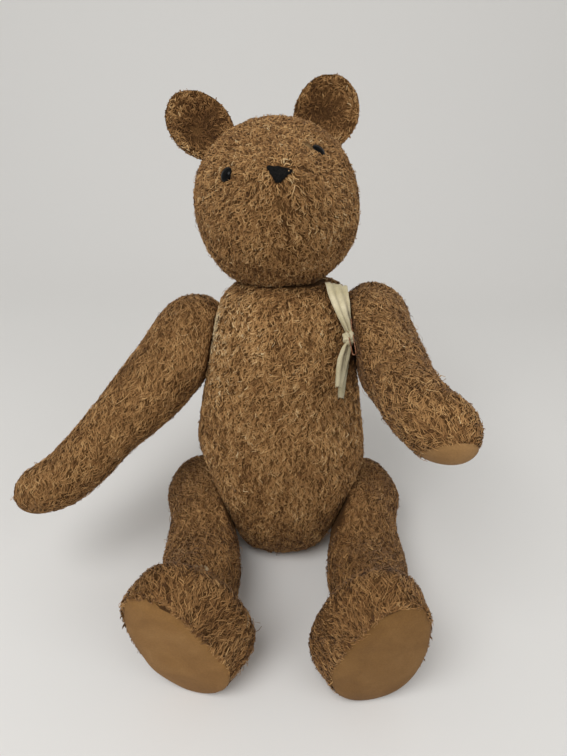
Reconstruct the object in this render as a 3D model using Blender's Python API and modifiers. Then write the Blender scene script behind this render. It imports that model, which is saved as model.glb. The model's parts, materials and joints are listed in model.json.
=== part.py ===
"""A jointed teddy bear, sitting: plush covers over filling, disc joints with split pins, suede pads.

The bear faces -Y and sits on the plane z = 0. Left and right are the bear's own, so its left is +X.
Each moving piece hangs on an empty that stands on its joint, and the torso's pieces on the bear's empty.
"""

import math

import bmesh
import bpy
import numpy as np
from mathutils import Matrix, Vector
from mathutils.bvhtree import BVHTree

# ---- Driving dimensions, in metres and degrees -------------------------------------------------
GAP = 0.0003  # left between touching pieces
CLOTH = 0.0018  # thickness of the plush cloth and of the suede pads
FILLING_INSET = CLOTH + 0.0009  # from the outside of a cover to the filling
BENEATH = 0.5  # half size of the block that trims with a plane

# Rows of a soft body, from one round end to the other: centre (x, y, z), half width along x, half depth to
# the front (-y) and half depth to the back (+y). A limb's rows hang from its joint, with +x pointing out.
TORSO_ROWS = (
    (0.000, 0.000, -0.014, 0.000, 0.000, 0.000),
    (0.000, 0.000, -0.007, 0.040, 0.042, 0.038),
    (0.000, 0.000, 0.020, 0.068, 0.067, 0.058),
    (0.000, 0.000, 0.062, 0.0803, 0.074, 0.062),
    (0.000, 0.000, 0.108, 0.0812, 0.071, 0.060),
    (0.000, 0.000, 0.155, 0.0755, 0.062, 0.057),
    (0.001, 0.000, 0.192, 0.067, 0.053, 0.052),
    (0.003, 0.000, 0.215, 0.056, 0.045, 0.046),
    (0.004, 0.000, 0.231, 0.040, 0.034, 0.035),
    (0.004, 0.000, 0.239, 0.020, 0.018, 0.018),
    (0.004, 0.000, 0.241, 0.000, 0.000, 0.000),
)
HEAD_ROWS = (
    (0.000, 0.000, -0.062, 0.000, 0.000, 0.000),
    (0.000, 0.000, -0.055, 0.030, 0.030, 0.030),
    (0.000, 0.000, -0.034, 0.054, 0.051, 0.052),
    (0.000, 0.000, -0.002, 0.064, 0.060, 0.062),
    (0.000, 0.000, 0.030, 0.061, 0.057, 0.061),
    (0.000, 0.000, 0.053, 0.047, 0.043, 0.048),
    (0.000, 0.000, 0.066, 0.025, 0.023, 0.026),
    (0.000, 0.000, 0.069, 0.000, 0.000, 0.000),
)
ARM_ROWS = (
    (0.018, 0.000, 0.034, 0.000, 0.000, 0.000),
    (0.018, 0.000, 0.027, 0.016, 0.019, 0.019),
    (0.0192, 0.000, 0.005, 0.029, 0.033, 0.033),
    (0.0198, 0.000, -0.032, 0.0305, 0.034, 0.034),
    (0.026, 0.000, -0.072, 0.028, 0.029, 0.029),
    (0.035, 0.000, -0.110, 0.023, 0.023, 0.024),
    (0.042, 0.000, -0.141, 0.022, 0.023, 0.023),
    (0.052, 0.000, -0.165, 0.022, 0.022, 0.023),
    (0.058, 0.000, -0.181, 0.013, 0.013, 0.014),
    (0.060, 0.000, -0.186, 0.000, 0.000, 0.000),
)
LEG_ROWS = (
    (0.015, 0.000, 0.034, 0.000, 0.000, 0.000),
    (0.015, 0.000, 0.027, 0.020, 0.018, 0.018),
    (0.019, 0.000, 0.008, 0.0313, 0.0225, 0.0225),
    (0.019, 0.000, -0.035, 0.0313, 0.0225, 0.0225),
    (0.0285, 0.000, -0.078, 0.0325, 0.0205, 0.0195),
    (0.032, 0.000, -0.106, 0.030, 0.028, 0.027),
    (0.032, 0.000, -0.130, 0.026, 0.0414, 0.0344),
    (0.020, 0.000, -0.150, 0.037, 0.065, 0.041),
    (0.018, 0.000, -0.166, 0.032, 0.069, 0.040),
    (0.018, 0.000, -0.174, 0.028, 0.065, 0.035),
    (0.018, 0.000, -0.176, 0.000, 0.000, 0.000),
)

LEAN_BACK = 9.0  # of the spine
NECK_HEIGHT = 0.230  # along the spine
HEAD_AT = (-0.0075, 0.0, 0.0535)  # its middle, from the neck joint
HEAD_TILT = 31.0  # of the face, back from the spine
HEAD_ROLL = 12.0  # of the crown, to the bear's right
HEAD_TURN = 6.0  # of the face, to the bear's left
MUZZLE_DROP = 0.016  # below the head's centre
MUZZLE_LENGTH = 0.026
MUZZLE_SPREAD = 0.031

EAR_HALF_WIDTH = 0.026
EAR_HALF_HEIGHT = 0.030
EAR_HALF_THICKNESS = 0.0055
EAR_CUP = 0.014  # how far the rim stands in front of the middle
EAR_PLACE = {"left": (0.055, 0.002, 0.075), "right": (-0.050, 0.002, 0.084)}  # from the head's centre
EAR_FORWARD = 28.0  # of its top, against the tilt of the head
EAR_LEAN = 36.0  # outwards
EAR_TURN = {"left": 5.0, "right": 20.0}  # of its hollow towards the nose

EYE_RADIUS = 0.0062
EYE_HEIGHT = 0.0042
EYE_PLACE = {"left": (0.033, 0.011), "right": (-0.034, 0.006)}  # (x, z) from the head's centre
NOSE_WIDTH = 0.018
NOSE_ASIDE = 0.0019  # to the right of the muzzle's middle, and below it
NOSE_DROP = 0.0013
NOSE_DEPTH = 0.011
NOSE_THICKNESS = 0.0015
NOSE_UP = (0.12, 0.0, 1.0)  # the way its flat side faces, from the neck joint

# The ribbon lies on the torso's front, by its left shoulder. Rows: (x, z) on the torso, half width, half
# thickness and height of its middle over the cover.
RIBBON_ROWS = (
    (0.0372, 0.2240, 0.0095, 0.0008, 0.0066),
    (0.0395, 0.2180, 0.0082, 0.0010, 0.0072),
    (0.0422, 0.2070, 0.0052, 0.0014, 0.0076),
    (0.0445, 0.1980, 0.0040, 0.0020, 0.0078),
    (0.0450, 0.1950, 0.0052, 0.0032, 0.0080),
    (0.0452, 0.1900, 0.0050, 0.0032, 0.0076),
    (0.0450, 0.1860, 0.0034, 0.0014, 0.0050),
    (0.0440, 0.1760, 0.0040, 0.0008, 0.0016),
    (0.0425, 0.1640, 0.0036, 0.0008, 0.0014),
    (0.0418, 0.1580, 0.0022, 0.0008, 0.0013),
)
RIBBON_TAIL_ROWS = (
    (0.0462, 0.1930, 0.0030, 0.0016, 0.0048),
    (0.0472, 0.1820, 0.0030, 0.0008, 0.0046),
    (0.0472, 0.1680, 0.0032, 0.0008, 0.0044),
    (0.0462, 0.1530, 0.0028, 0.0008, 0.0040),
    (0.0458, 0.1470, 0.0016, 0.0008, 0.0040),
)
SAFETY_PIN_AT = (0.0438, 0.1985)  # (x, z) of its middle on the torso
SAFETY_PIN_WAY = (-0.5, 0.0, 0.866)  # from its coil to its cap
SAFETY_PIN_WIRE = 0.001
SAFETY_PIN_REACH = 0.0125  # from its middle to its coil, and to its cap
SAFETY_PIN_SPREAD = 0.0022
COIL_RADIUS = 0.0018
CAP_SIZE = (0.0068, 0.0050, 0.0022)

# Each limb: where its joint stands on the torso (x for the left one), which way the joint's axis points
# (out, back, up), how far the limb is swung forward from hanging, and how far it splays out of its joint.
LIMBS = {
    "left_arm": {"at": (0.0546, 0.000, 0.193), "axis": (1.0, 0.0, 0.16), "swing": 82.0, "splay": -6.0},
    "right_arm": {"at": (0.060, 0.000, 0.180), "axis": (1.0, 0.0, 0.16), "swing": 40.0, "splay": 17.0},
    "left_leg": {"at": (0.060, -0.009, 0.0449), "axis": (1.0, -0.18, -0.414), "swing": 84.9, "splay": 0.0},
    "right_leg": {"at": (0.056, -0.0054, 0.0426), "axis": (1.0, -0.23, -0.417), "swing": 85.4, "splay": 0.0},
}
TOES_OUT = {"left_leg": 22.4, "right_leg": 27.7}  # the way the sole faces, growing from the ankle down
TOES_LEAN = {"left_leg": -11.5, "right_leg": 0.6}  # of the foot, twisted outwards between knee and ankle
KNEE_DROP = 0.030  # from the hip joint
ANKLE_DROP = 0.100
SOLE_DROP = 0.168
LIMB_ROWS = {"arm": ARM_ROWS, "leg": LEG_ROWS}
# A pad is what lies beyond a plane through the limb: a point on it, and the way it faces (y, z).
PAD_CUT = {"arm": ((0.0, -0.1775), (0.68, -0.73)), "leg": ((0.0, -0.1725), (0.0, -1.0))}
FLAT_DROP = {"arm": 1.0, "leg": 0.112}  # how far down from its joint a limb is flat on the torso's side

DISC_RADIUS = {"arm": 0.0142, "leg": 0.0146, "neck": 0.019}
DISC_THICKNESS = 0.003
WASHER_RADIUS = 0.008
WASHER_THICKNESS = 0.001
PIN_WIRE = 0.0016
PIN_HOLE_RADIUS = 0.0023
PIN_EYE_HEIGHT = 0.006
PIN_CURL_RADIUS = 0.0022
POCKET = CLOTH + DISC_THICKNESS + WASHER_THICKNESS + PIN_EYE_HEIGHT + 4 * GAP  # from a joint to filling

COLOURS = {
    "plush": (0.235, 0.125, 0.058),
    "suede": (0.240, 0.131, 0.052),
    "filling": (0.640, 0.520, 0.330),
    "board": (0.300, 0.200, 0.110),
    "steel": (0.560, 0.560, 0.580),
    "rusty_steel": (0.230, 0.090, 0.045),
    "black_glass": (0.006, 0.006, 0.007),
    "black_felt": (0.010, 0.010, 0.010),
    "ribbon": (0.610, 0.540, 0.350),
}
ROUGHNESS = {"black_glass": 0.08, "steel": 0.35, "rusty_steel": 0.6, "ribbon": 0.55}
METALLIC = {"steel": 1.0, "rusty_steel": 0.7}


# ---- Scene and materials -----------------------------------------------------------------------
def clear_scene():
    for thing in list(bpy.data.objects):
        bpy.data.objects.remove(thing, do_unlink=True)


def new_collection(name, hidden=False):
    collection = bpy.data.collections.new(name)
    collection.hide_render = hidden
    bpy.context.scene.collection.children.link(collection)
    return collection


def new_material(name, colour):
    material = bpy.data.materials.new(name)
    material.use_nodes = True
    shader = material.node_tree.nodes["Principled BSDF"]
    shader.inputs["Base Color"].default_value = (*COLOURS[colour], 1.0)
    shader.inputs["Roughness"].default_value = ROUGHNESS.get(colour, 0.9)
    shader.inputs["Metallic"].default_value = METALLIC.get(colour, 0.0)
    return material


def new_frame(name, matrix, parent=None):
    """An empty at a world matrix."""
    frame = bpy.data.objects.new(name, None)
    frame.empty_display_size = 0.03
    frame.matrix_world = matrix
    PARTS.objects.link(frame)
    if parent:
        frame.parent = parent
        frame.matrix_parent_inverse = parent.matrix_world.inverted()
    return frame


def add_piece(name, mesh, frame, colour, local=Matrix.Identity(4)):
    """A piece on a frame, with its own material."""
    piece = bpy.data.objects.new(name, mesh)
    piece.parent = frame
    piece.matrix_local = local
    mesh.materials.append(new_material(name, colour))
    PARTS.objects.link(piece)
    return piece


def add_cutter(name, mesh, frame, local=Matrix.Identity(4)):
    cutter = bpy.data.objects.new(name, mesh)
    cutter.parent = frame
    cutter.matrix_local = local
    cutter.hide_render = True
    cutter.display_type = "WIRE"
    CUTTERS.objects.link(cutter)
    return cutter


def combine(piece, operation, cutter):
    boolean = piece.modifiers.new(operation.title(), "BOOLEAN")
    boolean.operation = operation
    boolean.object = cutter
    boolean.solver = "EXACT"


# ---- Soft shapes -------------------------------------------------------------------------------
def smooth_rows(rows, count):
    """Evenly spaced rows on a Catmull-Rom curve. The sizes turn negative past each end, so it closes round."""
    rows = np.array(rows, float)
    turned = np.array([1, 1, 1, -1, -1, -1])
    rows = np.vstack([rows[1] * turned, rows, rows[-2] * turned])
    fine = []
    for before, start, end, after in zip(rows, rows[1:], rows[2:], rows[3:]):
        for t in np.linspace(0, 1, 24, endpoint=False):
            bend = 2 * before - 5 * start + 4 * end - after
            twist = 3 * start - before - 3 * end + after
            fine.append(start + 0.5 * ((end - before) * t + bend * t**2 + twist * t**3))
    fine = np.array([*fine, rows[-2]])
    along = np.concatenate([[0], np.cumsum(np.linalg.norm(np.diff(fine, axis=0), axis=1))])
    wanted = np.linspace(0, along[-1], count)
    return np.column_stack([np.interp(wanted, along, column) for column in fine.T])


def loft(name, rows, rings, around, side=1):
    """A closed mesh through the rows, with a point at each end. side -1 mirrors it in x."""
    rows = smooth_rows(rows, rings + 2)
    shape = bmesh.new()
    loops = []
    for x, y, z, width, front, back in rows[1:-1]:
        loop = []
        for step in range(around):
            turn = 2 * math.pi * step / around
            depth = back if math.sin(turn) > 0 else front
            at = (side * (x + width * math.cos(turn)), y + depth * math.sin(turn), z)
            loop.append(shape.verts.new(at))
        loops.append(loop)
    for lower, upper in zip(loops, loops[1:]):
        for a in range(around):
            b = (a + 1) % around
            shape.faces.new((lower[a], lower[b], upper[b], upper[a]))
    for loop, row in ((loops[0], rows[0]), (loops[-1], rows[-1])):
        tip = shape.verts.new((side * row[0], row[1], row[2]))
        for a in range(around):
            shape.faces.new((loop[a], loop[(a + 1) % around], tip))
    bmesh.ops.recalc_face_normals(shape, faces=shape.faces)
    mesh = bpy.data.meshes.new(name)
    shape.to_mesh(mesh)
    shape.free()
    return mesh


def move_points(mesh, place):
    """Gives each point of the mesh its new place."""
    for vertex in mesh.vertices:
        vertex.co = place(vertex.co)
    mesh.update()


def press(mesh, at, facing):
    """Flattens what stands beyond a plane on to it."""
    facing = Vector(facing).normalized()

    def flat(point):
        return point - facing * max(0, (point - Vector(at)).dot(facing))

    move_points(mesh, flat)


def offset(mesh, distance):
    """Moves the surface outwards by a distance, or inwards if that is negative."""
    normals = [vertex.normal.copy() for vertex in mesh.vertices]
    for vertex, normal in zip(mesh.vertices, normals):
        vertex.co += normal * distance
    mesh.update()


def add_cover(name, mesh, frame):
    """A cloth cover: the outer surface, with its thickness inside it."""
    cover = add_piece(name, mesh, frame, "plush")
    shell = cover.modifiers.new("Cloth", "SOLIDIFY")
    shell.thickness = CLOTH
    shell.offset = -1
    shell.use_even_offset = True
    mesh.shade_smooth()
    return cover


def add_filling(name, mesh, frame, pockets):
    """The filling under a cover, pressed back from each joint to make room for the disc there."""
    offset(mesh, -FILLING_INSET)
    for at, facing in pockets:
        facing = Vector(facing).normalized()
        press(mesh, Vector(at) - facing * POCKET, facing)
    return add_piece(name, mesh, frame, "filling")


def block_mesh(name):
    shape = bmesh.new()
    bmesh.ops.create_cube(shape, size=2 * BENEATH)
    mesh = bpy.data.meshes.new(name)
    shape.to_mesh(mesh)
    shape.free()
    return mesh


def cylinder_mesh(name, radius, length, sides):
    shape = bmesh.new()
    bmesh.ops.create_cone(shape, cap_ends=True, segments=sides, radius1=radius, radius2=radius, depth=length)
    mesh = bpy.data.meshes.new(name)
    shape.to_mesh(mesh)
    shape.free()
    return mesh


# ---- Joint hardware: each is turned about its own z, which lies on the joint's axis --------------
def add_ring(name, frame, colour, local, radius, thickness, steps):
    """A disc or a washer with a hole for the pin, from z = 0 up."""
    mesh = bpy.data.meshes.new(name)
    profile = [(radius, thickness), (radius, 0), (PIN_HOLE_RADIUS, 0), (PIN_HOLE_RADIUS, thickness)]
    mesh.from_pydata([(x, 0, z) for x, z in profile], [(0, 1), (1, 2), (2, 3), (3, 0)], [])
    ring = add_piece(name, mesh, frame, colour, local)
    turned = ring.modifiers.new("Turned", "SCREW")
    turned.steps = turned.render_steps = steps
    turned.use_merge_vertices = True
    turned.merge_threshold = 0.00001
    return ring


def pin_route(eye_z, curl_z):
    """Half of a split pin in its own xz plane: from the top of its eye down one leg and out into its curl."""
    leg_x = PIN_WIRE / 2 + GAP / 2
    eye_radius = PIN_EYE_HEIGHT / 2 - PIN_WIRE / 2
    eye_middle = eye_z + PIN_WIRE / 2 + eye_radius
    start = math.acos(leg_x / eye_radius)
    points = []
    for step in range(5):
        turn = math.pi / 2 - step / 4 * (math.pi / 2 + start)
        points.append((eye_radius * math.cos(turn), eye_middle + eye_radius * math.sin(turn)))
    curl_top = curl_z - PIN_WIRE / 2
    points.append((leg_x, curl_top + PIN_CURL_RADIUS / 2))
    for step in range(5):
        turn = math.pi - step / 4 * math.radians(170)
        centre_x = leg_x + PIN_CURL_RADIUS
        points.append((centre_x + PIN_CURL_RADIUS * math.cos(turn), curl_top - PIN_CURL_RADIUS * math.sin(turn)))
    return points


def wire_mesh(name, points, radius, resolution=1):
    """A round wire with closed ends along straight runs between points."""
    curve = bpy.data.curves.new(name, "CURVE")
    curve.dimensions = "3D"
    curve.bevel_depth = radius
    curve.bevel_resolution = resolution
    curve.use_fill_caps = True
    spline = curve.splines.new("POLY")
    spline.points.add(len(points) - 1)
    for target, point in zip(spline.points, points):
        target.co = (*point, 1.0)
    guide = bpy.data.objects.new(name + "_guide", curve)
    CUTTERS.objects.link(guide)
    bpy.context.view_layer.update()
    mesh = bpy.data.meshes.new_from_object(guide.evaluated_get(bpy.context.evaluated_depsgraph_get()))
    bpy.data.objects.remove(guide, do_unlink=True)
    shape = bmesh.new()
    shape.from_mesh(mesh)
    bmesh.ops.remove_doubles(shape, verts=shape.verts, dist=0.00001)
    bmesh.ops.recalc_face_normals(shape, faces=shape.faces)
    shape.to_mesh(mesh)
    shape.free()
    mesh.name = name
    return mesh


def add_joint_hardware(limb, socket, frame, torso_frame, out, radius, covers):
    """Two discs, two washers and a split pin. out is the way from the torso, in the frame of the joint."""
    turn = Vector((0, 0, 1)).rotation_difference(Vector(out)).to_matrix().to_4x4()
    hole = add_cutter(limb + "_pin_hole", cylinder_mesh(limb, PIN_HOLE_RADIUS, 4 * CLOTH, 10), frame, turn)
    for cover in covers:
        combine(cover, "DIFFERENCE", hole)
    disc_z = CLOTH + GAP
    washer_z = disc_z + DISC_THICKNESS + GAP
    eye_z = washer_z + WASHER_THICKNESS + GAP
    below = Matrix.Translation((0, 0, -GAP)) @ Matrix.Rotation(math.pi, 4, "X")
    to_torso = torso_frame.matrix_world.inverted() @ frame.matrix_world @ turn @ below
    for name, holder, place in ((limb, frame, turn), (socket, torso_frame, to_torso)):
        lift = Matrix.Translation((0, 0, disc_z))
        add_ring(name + "_disc", holder, "board", place @ lift, radius, DISC_THICKNESS, 20)
        lift = Matrix.Translation((0, 0, washer_z))
        add_ring(name + "_washer", holder, "steel", place @ lift, WASHER_RADIUS, WASHER_THICKNESS, 12)
    half = pin_route(eye_z, -eye_z - GAP)
    route = [(-x, 0, z) for x, z in reversed(half[1:])] + [(x, 0, z) for x, z in half]
    mesh = wire_mesh(limb + "_cotter_pin", route, PIN_WIRE / 2)
    add_piece(limb + "_cotter_pin", mesh, frame, "steel", turn)


# ---- The bear ----------------------------------------------------------------------------------
def limb_matrix(name):
    """A limb's frame on the torso: x is its joint's axis, and it hangs along -z, swung forward."""
    limb = LIMBS[name]
    side = 1 if name.startswith("left") else -1
    x, y, z = limb["at"]
    out, back, up = limb["axis"]
    axis = Vector((out, side * back, side * up)).normalized()
    upward = (Vector((0, 0, 1)) - axis * axis.z).normalized()
    frame = Matrix((axis, upward.cross(axis), upward)).transposed().to_4x4()
    frame.translation = (side * x, y, z)
    return frame @ Matrix.Rotation(math.radians(-limb["swing"]), 4, "X")


def torso_joints():
    """(point, way out) of each joint in the torso's frame."""
    joints = [((0, 0, NECK_HEIGHT), (0, 0, 1))]
    for name in LIMBS:
        side = 1 if name.startswith("left") else -1
        frame = limb_matrix(name)
        joints.append((frame.translation, side * frame.col[0].xyz))
    return joints


def build_torso(bear):
    """The torso's outer surface is flat at each joint and on the seat."""
    mesh = loft("torso_cover", TORSO_ROWS, 15, 24)
    for at, facing in torso_joints():
        press(mesh, Vector(at) - Vector(facing) * GAP, facing)
    seat = bear.matrix_world.inverted().to_3x3() @ Vector((0, 0, -1))
    press(mesh, (0, 0, 0), seat)
    cover = add_cover("torso_cover", mesh, bear)
    filling = loft("torso_stuffing", TORSO_ROWS, 15, 24)
    add_filling("torso_stuffing", filling, bear, torso_joints())
    press(filling, seat * -FILLING_INSET, seat)
    add_ribbon(bear, cover.data)
    add_safety_pin(bear, cover.data)
    return cover


def strip_mesh(name, torso_mesh, rows):
    """A flat strip that follows the torso's front, with rounded edges and closed ends."""
    tree = surface_tree(torso_mesh)
    middles = []
    for x, z, _, _, height in rows:
        point, normal, _, _ = tree.ray_cast(Vector((x, -1, z)), Vector((0, 1, 0)))
        middles.append((point + normal * height, normal))
    shape = bmesh.new()
    loops = []
    for step, ((middle, normal), row) in enumerate(zip(middles, rows)):
        way = middles[min(step + 1, len(rows) - 1)][0] - middles[max(step - 1, 0)][0]
        across = way.cross(normal).normalized()
        loop = []
        for turn in [2 * math.pi * k / 10 for k in range(10)]:
            loop.append(shape.verts.new(middle + across * row[2] * math.cos(turn) + normal * row[3] * math.sin(turn)))
        loops.append(loop)
    for lower, upper in zip(loops, loops[1:]):
        for a in range(10):
            shape.faces.new((lower[a], lower[a - 1], upper[a - 1], upper[a]))
    shape.faces.new(loops[0])
    shape.faces.new(loops[-1])
    return closed_mesh(name, shape)


def add_ribbon(frame, torso_mesh):
    """A flared end, a knot and two tails."""
    ribbon = add_piece("ribbon", strip_mesh("ribbon", torso_mesh, RIBBON_ROWS), frame, "ribbon")
    tail = add_cutter("ribbon_tail", strip_mesh("ribbon_tail", torso_mesh, RIBBON_TAIL_ROWS), frame)
    combine(ribbon, "UNION", tail)
    return ribbon


def add_safety_pin(frame, torso_mesh):
    """A closed safety pin, with y from its coil to its cap."""
    spread, reach, wire = SAFETY_PIN_SPREAD, SAFETY_PIN_REACH, SAFETY_PIN_WIRE
    x, z = SAFETY_PIN_AT
    outline = [(a * CAP_SIZE[0] / 2, b * (reach + CAP_SIZE[1])) for a in (-1, 0, 1) for b in (-1, -0.5, 0, 0.5, 1)]
    seat = seat_on(torso_mesh, (x, -1, z), (0, 1, 0), outline, SAFETY_PIN_WAY)
    seat = seat @ Matrix.Translation((0, 0, wire / 2))
    points = [(-spread, reach, 0)]
    for step in range(19):
        turn = math.pi + step / 18 * 3 * math.pi
        rise = (wire + GAP) * 1.5 * step / 18
        points.append((COIL_RADIUS * math.cos(turn), -reach + COIL_RADIUS * math.sin(turn), rise))
    points.append((spread, reach, 0))
    mesh = wire_mesh("safety_pin", points, wire / 2)
    add_piece("safety_pin", mesh, frame, "rusty_steel", seat)
    shape = bmesh.new()
    bmesh.ops.create_cube(shape, size=1)
    width, length, depth = CAP_SIZE
    bmesh.ops.scale(shape, vec=(width, length, depth), verts=shape.verts)
    bmesh.ops.translate(shape, vec=(0, reach + GAP + length / 2, (depth - wire) / 2), verts=shape.verts)
    along = [e for e in shape.edges if abs(e.verts[0].co.z - e.verts[1].co.z) > depth / 2]
    bmesh.ops.bevel(shape, geom=along, offset=0.0018, segments=3, affect="EDGES", profile=0.5)
    cap = add_piece("safety_pin_cap", closed_mesh("safety_pin_cap", shape), frame, "rusty_steel", seat)
    return cap


def head_placement():
    """From the head's own frame, with its middle at the origin and its face level, to the neck joint."""
    roll = Matrix.Rotation(math.radians(-HEAD_ROLL), 4, "Y")
    tilt = Matrix.Rotation(math.radians(-HEAD_TILT), 4, "X")
    turn = Matrix.Rotation(math.radians(HEAD_TURN), 4, "Z")
    return Matrix.Translation(HEAD_AT) @ roll @ turn @ tilt


def head_surface(name, grown=0.0):
    """The skull with the muzzle raised on it, tilted on the neck and flat there."""
    mesh = loft(name, HEAD_ROWS, 13, 20)

    def with_muzzle(point):
        if point.y > 0:
            return point
        off_axis = math.hypot(point.x, point.z + MUZZLE_DROP)
        reach = MUZZLE_LENGTH * math.exp(-((off_axis / MUZZLE_SPREAD) ** 2))
        return point + Vector((0, -reach, 0))

    move_points(mesh, with_muzzle)
    if grown:
        offset(mesh, grown)
    mesh.transform(head_placement())
    return mesh


def add_ear(name, frame, clearance):
    side = 1 if name.startswith("left") else -1
    shape = bmesh.new()
    bmesh.ops.create_uvsphere(shape, u_segments=16, v_segments=10, radius=1)
    for vertex in shape.verts:
        x, y, z = vertex.co
        cup = EAR_CUP * (x * x + z * z)
        vertex.co = (x * EAR_HALF_WIDTH, y * EAR_HALF_THICKNESS - cup, z * EAR_HALF_HEIGHT)
    mesh = bpy.data.meshes.new(name)
    shape.to_mesh(mesh)
    shape.free()
    which = name.split("_")[0]
    turn = Matrix.Rotation(math.radians(-side * EAR_TURN[which]), 4, "Z")
    lean = Matrix.Rotation(math.radians(side * EAR_LEAN), 4, "Y")
    forward = Matrix.Rotation(math.radians(EAR_FORWARD), 4, "X")
    place = head_placement() @ Matrix.Translation(EAR_PLACE[which]) @ forward @ lean @ turn
    ear = add_piece(name, mesh, frame, "plush", place)
    combine(ear, "DIFFERENCE", clearance)
    mesh.shade_smooth()
    return ear


def ring_of(*radii):
    """Points on circles round the origin, in a plane."""
    turns = [2 * math.pi * step / 12 for step in range(12)]
    return [(radius * math.cos(turn), radius * math.sin(turn)) for radius in radii for turn in turns]


def surface_tree(mesh):
    """For casting rays at a mesh, as the triangles that it is drawn with."""
    mesh.calc_loop_triangles()
    return BVHTree.FromPolygons([v.co for v in mesh.vertices], [t.vertices[:] for t in mesh.loop_triangles])


def seat_on(mesh, at, along, outline, upward=(0, 0, 1)):
    """A frame that lies on a surface where a line meets it: z points off it, y the upward way along it, and
    no point of the outline, in the frame's xy plane, is below the surface."""
    tree = surface_tree(mesh)
    point, normal, _, _ = tree.ray_cast(Vector(at), Vector(along).normalized())
    for _ in range(2):
        across = Vector(upward).cross(normal).normalized()
        frame = Matrix((across, normal.cross(across), normal)).transposed()
        found = []
        for x, y in outline:
            found.append(tree.ray_cast(point + frame @ Vector((x, y, 0.02)), -normal)[0])
        middle = sum(found, Vector()) / len(found)
        spread = np.linalg.svd(np.array([spot - middle for spot in found]))[2][2]
        normal = Vector(spread) * math.copysign(1, normal.dot(Vector(spread)))
    across = Vector(upward).cross(normal).normalized()
    frame = Matrix((across, normal.cross(across), normal)).transposed().to_4x4()
    reach = max(math.hypot(x, y) for x, y in outline)
    near = [vertex.co for vertex in mesh.vertices if (vertex.co - point).length < reach]
    lift = max((spot - point).dot(normal) for spot in [point, *found, *near])
    frame.translation = point + normal * (lift + GAP)
    return frame


def closed_mesh(name, shape):
    """The mesh of a closed shape with its faces turned out, and the shape is freed."""
    bmesh.ops.remove_doubles(shape, verts=shape.verts, dist=0.00001)
    bmesh.ops.recalc_face_normals(shape, faces=shape.faces)
    mesh = bpy.data.meshes.new(name)
    shape.to_mesh(mesh)
    shape.free()
    return mesh


def add_eye(name, frame, head_mesh):
    """A domed button eye, turned."""
    place = head_placement()
    x, z = EYE_PLACE[name.split("_")[0]]
    outline = ring_of(EYE_RADIUS, EYE_RADIUS / 2)
    seat = seat_on(head_mesh, place @ Vector((x, -1, z)), place.to_3x3() @ Vector((0, 1, 0)), outline)
    shape = bmesh.new()
    rings = []
    for step in range(5):
        rise = math.pi / 2 * step / 5
        ring = []
        for x, y in [(math.cos(2 * math.pi * k / 14), math.sin(2 * math.pi * k / 14)) for k in range(14)]:
            radius = EYE_RADIUS * math.cos(rise)
            ring.append(shape.verts.new((x * radius, y * radius, EYE_HEIGHT * math.sin(rise))))
        rings.append(ring)
    shape.faces.new(rings[0])
    for lower, upper in zip(rings, rings[1:]):
        for a in range(14):
            shape.faces.new((lower[a], lower[a - 1], upper[a - 1], upper[a]))
    top = shape.verts.new((0, 0, EYE_HEIGHT))
    for a in range(14):
        shape.faces.new((rings[-1][a], rings[-1][a - 1], top))
    mesh = closed_mesh(name, shape)
    mesh.shade_smooth()
    return add_piece(name, mesh, frame, "black_glass", seat)


def add_nose(frame, head_mesh):
    """A rounded triangle, point down."""
    place = head_placement()
    corners = ((-0.42, 0.42), (0.42, 0.42), (0.5, 0.25), (0.1, -0.48), (-0.1, -0.48), (-0.5, 0.25))
    outline = [(x * NOSE_WIDTH, y * NOSE_DEPTH) for x, y in corners]
    inner = [(x / 2, y / 2) for x, y in outline]
    seat = seat_on(
        head_mesh,
        place @ Vector((-NOSE_ASIDE, -1, -MUZZLE_DROP - NOSE_DROP)),
        place.to_3x3() @ Vector((0, 1, 0)),
        outline + inner,
        NOSE_UP,
    )
    shape = bmesh.new()
    lower = [shape.verts.new((x, y, 0)) for x, y in outline]
    upper = [shape.verts.new((x, y, NOSE_THICKNESS)) for x, y in outline]
    shape.faces.new(lower)
    shape.faces.new(upper)
    for a in range(len(outline)):
        shape.faces.new((lower[a], lower[a - 1], upper[a - 1], upper[a]))
    return add_piece("nose", closed_mesh("nose", shape), frame, "black_felt", seat)


def build_head(neck):
    mesh = head_surface("head_cover")
    press(mesh, (0, 0, 0), (0, 0, -1))
    cover = add_cover("head_cover", mesh, neck)
    filling = head_surface("head_stuffing")
    add_filling("head_stuffing", filling, neck, [((0, 0, 0), (0, 0, -1))])
    clearance = add_cutter("head_clearance", head_surface("head_clearance", 1.5 * GAP), neck)
    for side in ("left", "right"):
        add_ear(side + "_ear", neck, clearance)
        add_eye(side + "_eye", neck, mesh)
    add_nose(neck, mesh)
    return cover


def foot_turn(leg, side, drop):
    """How a leg is bent and twisted at a distance below its joint, about its ankle."""
    bent = min(1, max(0, (drop - ANKLE_DROP) / (SOLE_DROP - ANKLE_DROP)))
    twisted = min(1, max(0, (drop - KNEE_DROP) / (ANKLE_DROP - KNEE_DROP)))
    ankle = Matrix.Translation((side * LEG_ROWS[5][0], 0, -ANKLE_DROP))
    out = Matrix.Rotation(math.radians(-side * TOES_OUT[leg] * bent), 4, "Y")
    lean = Matrix.Rotation(math.radians(side * TOES_LEAN[leg] * twisted), 4, "Z")
    return ankle @ out @ lean @ ankle.inverted()


def splay_turn(limb, part, side):
    pivot = Matrix.Translation((side * LIMB_ROWS[part][0][0], 0, 0))
    turn = Matrix.Rotation(math.radians(-side * LIMBS[limb]["splay"]), 4, "Y")
    return pivot @ turn @ pivot.inverted()


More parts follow.
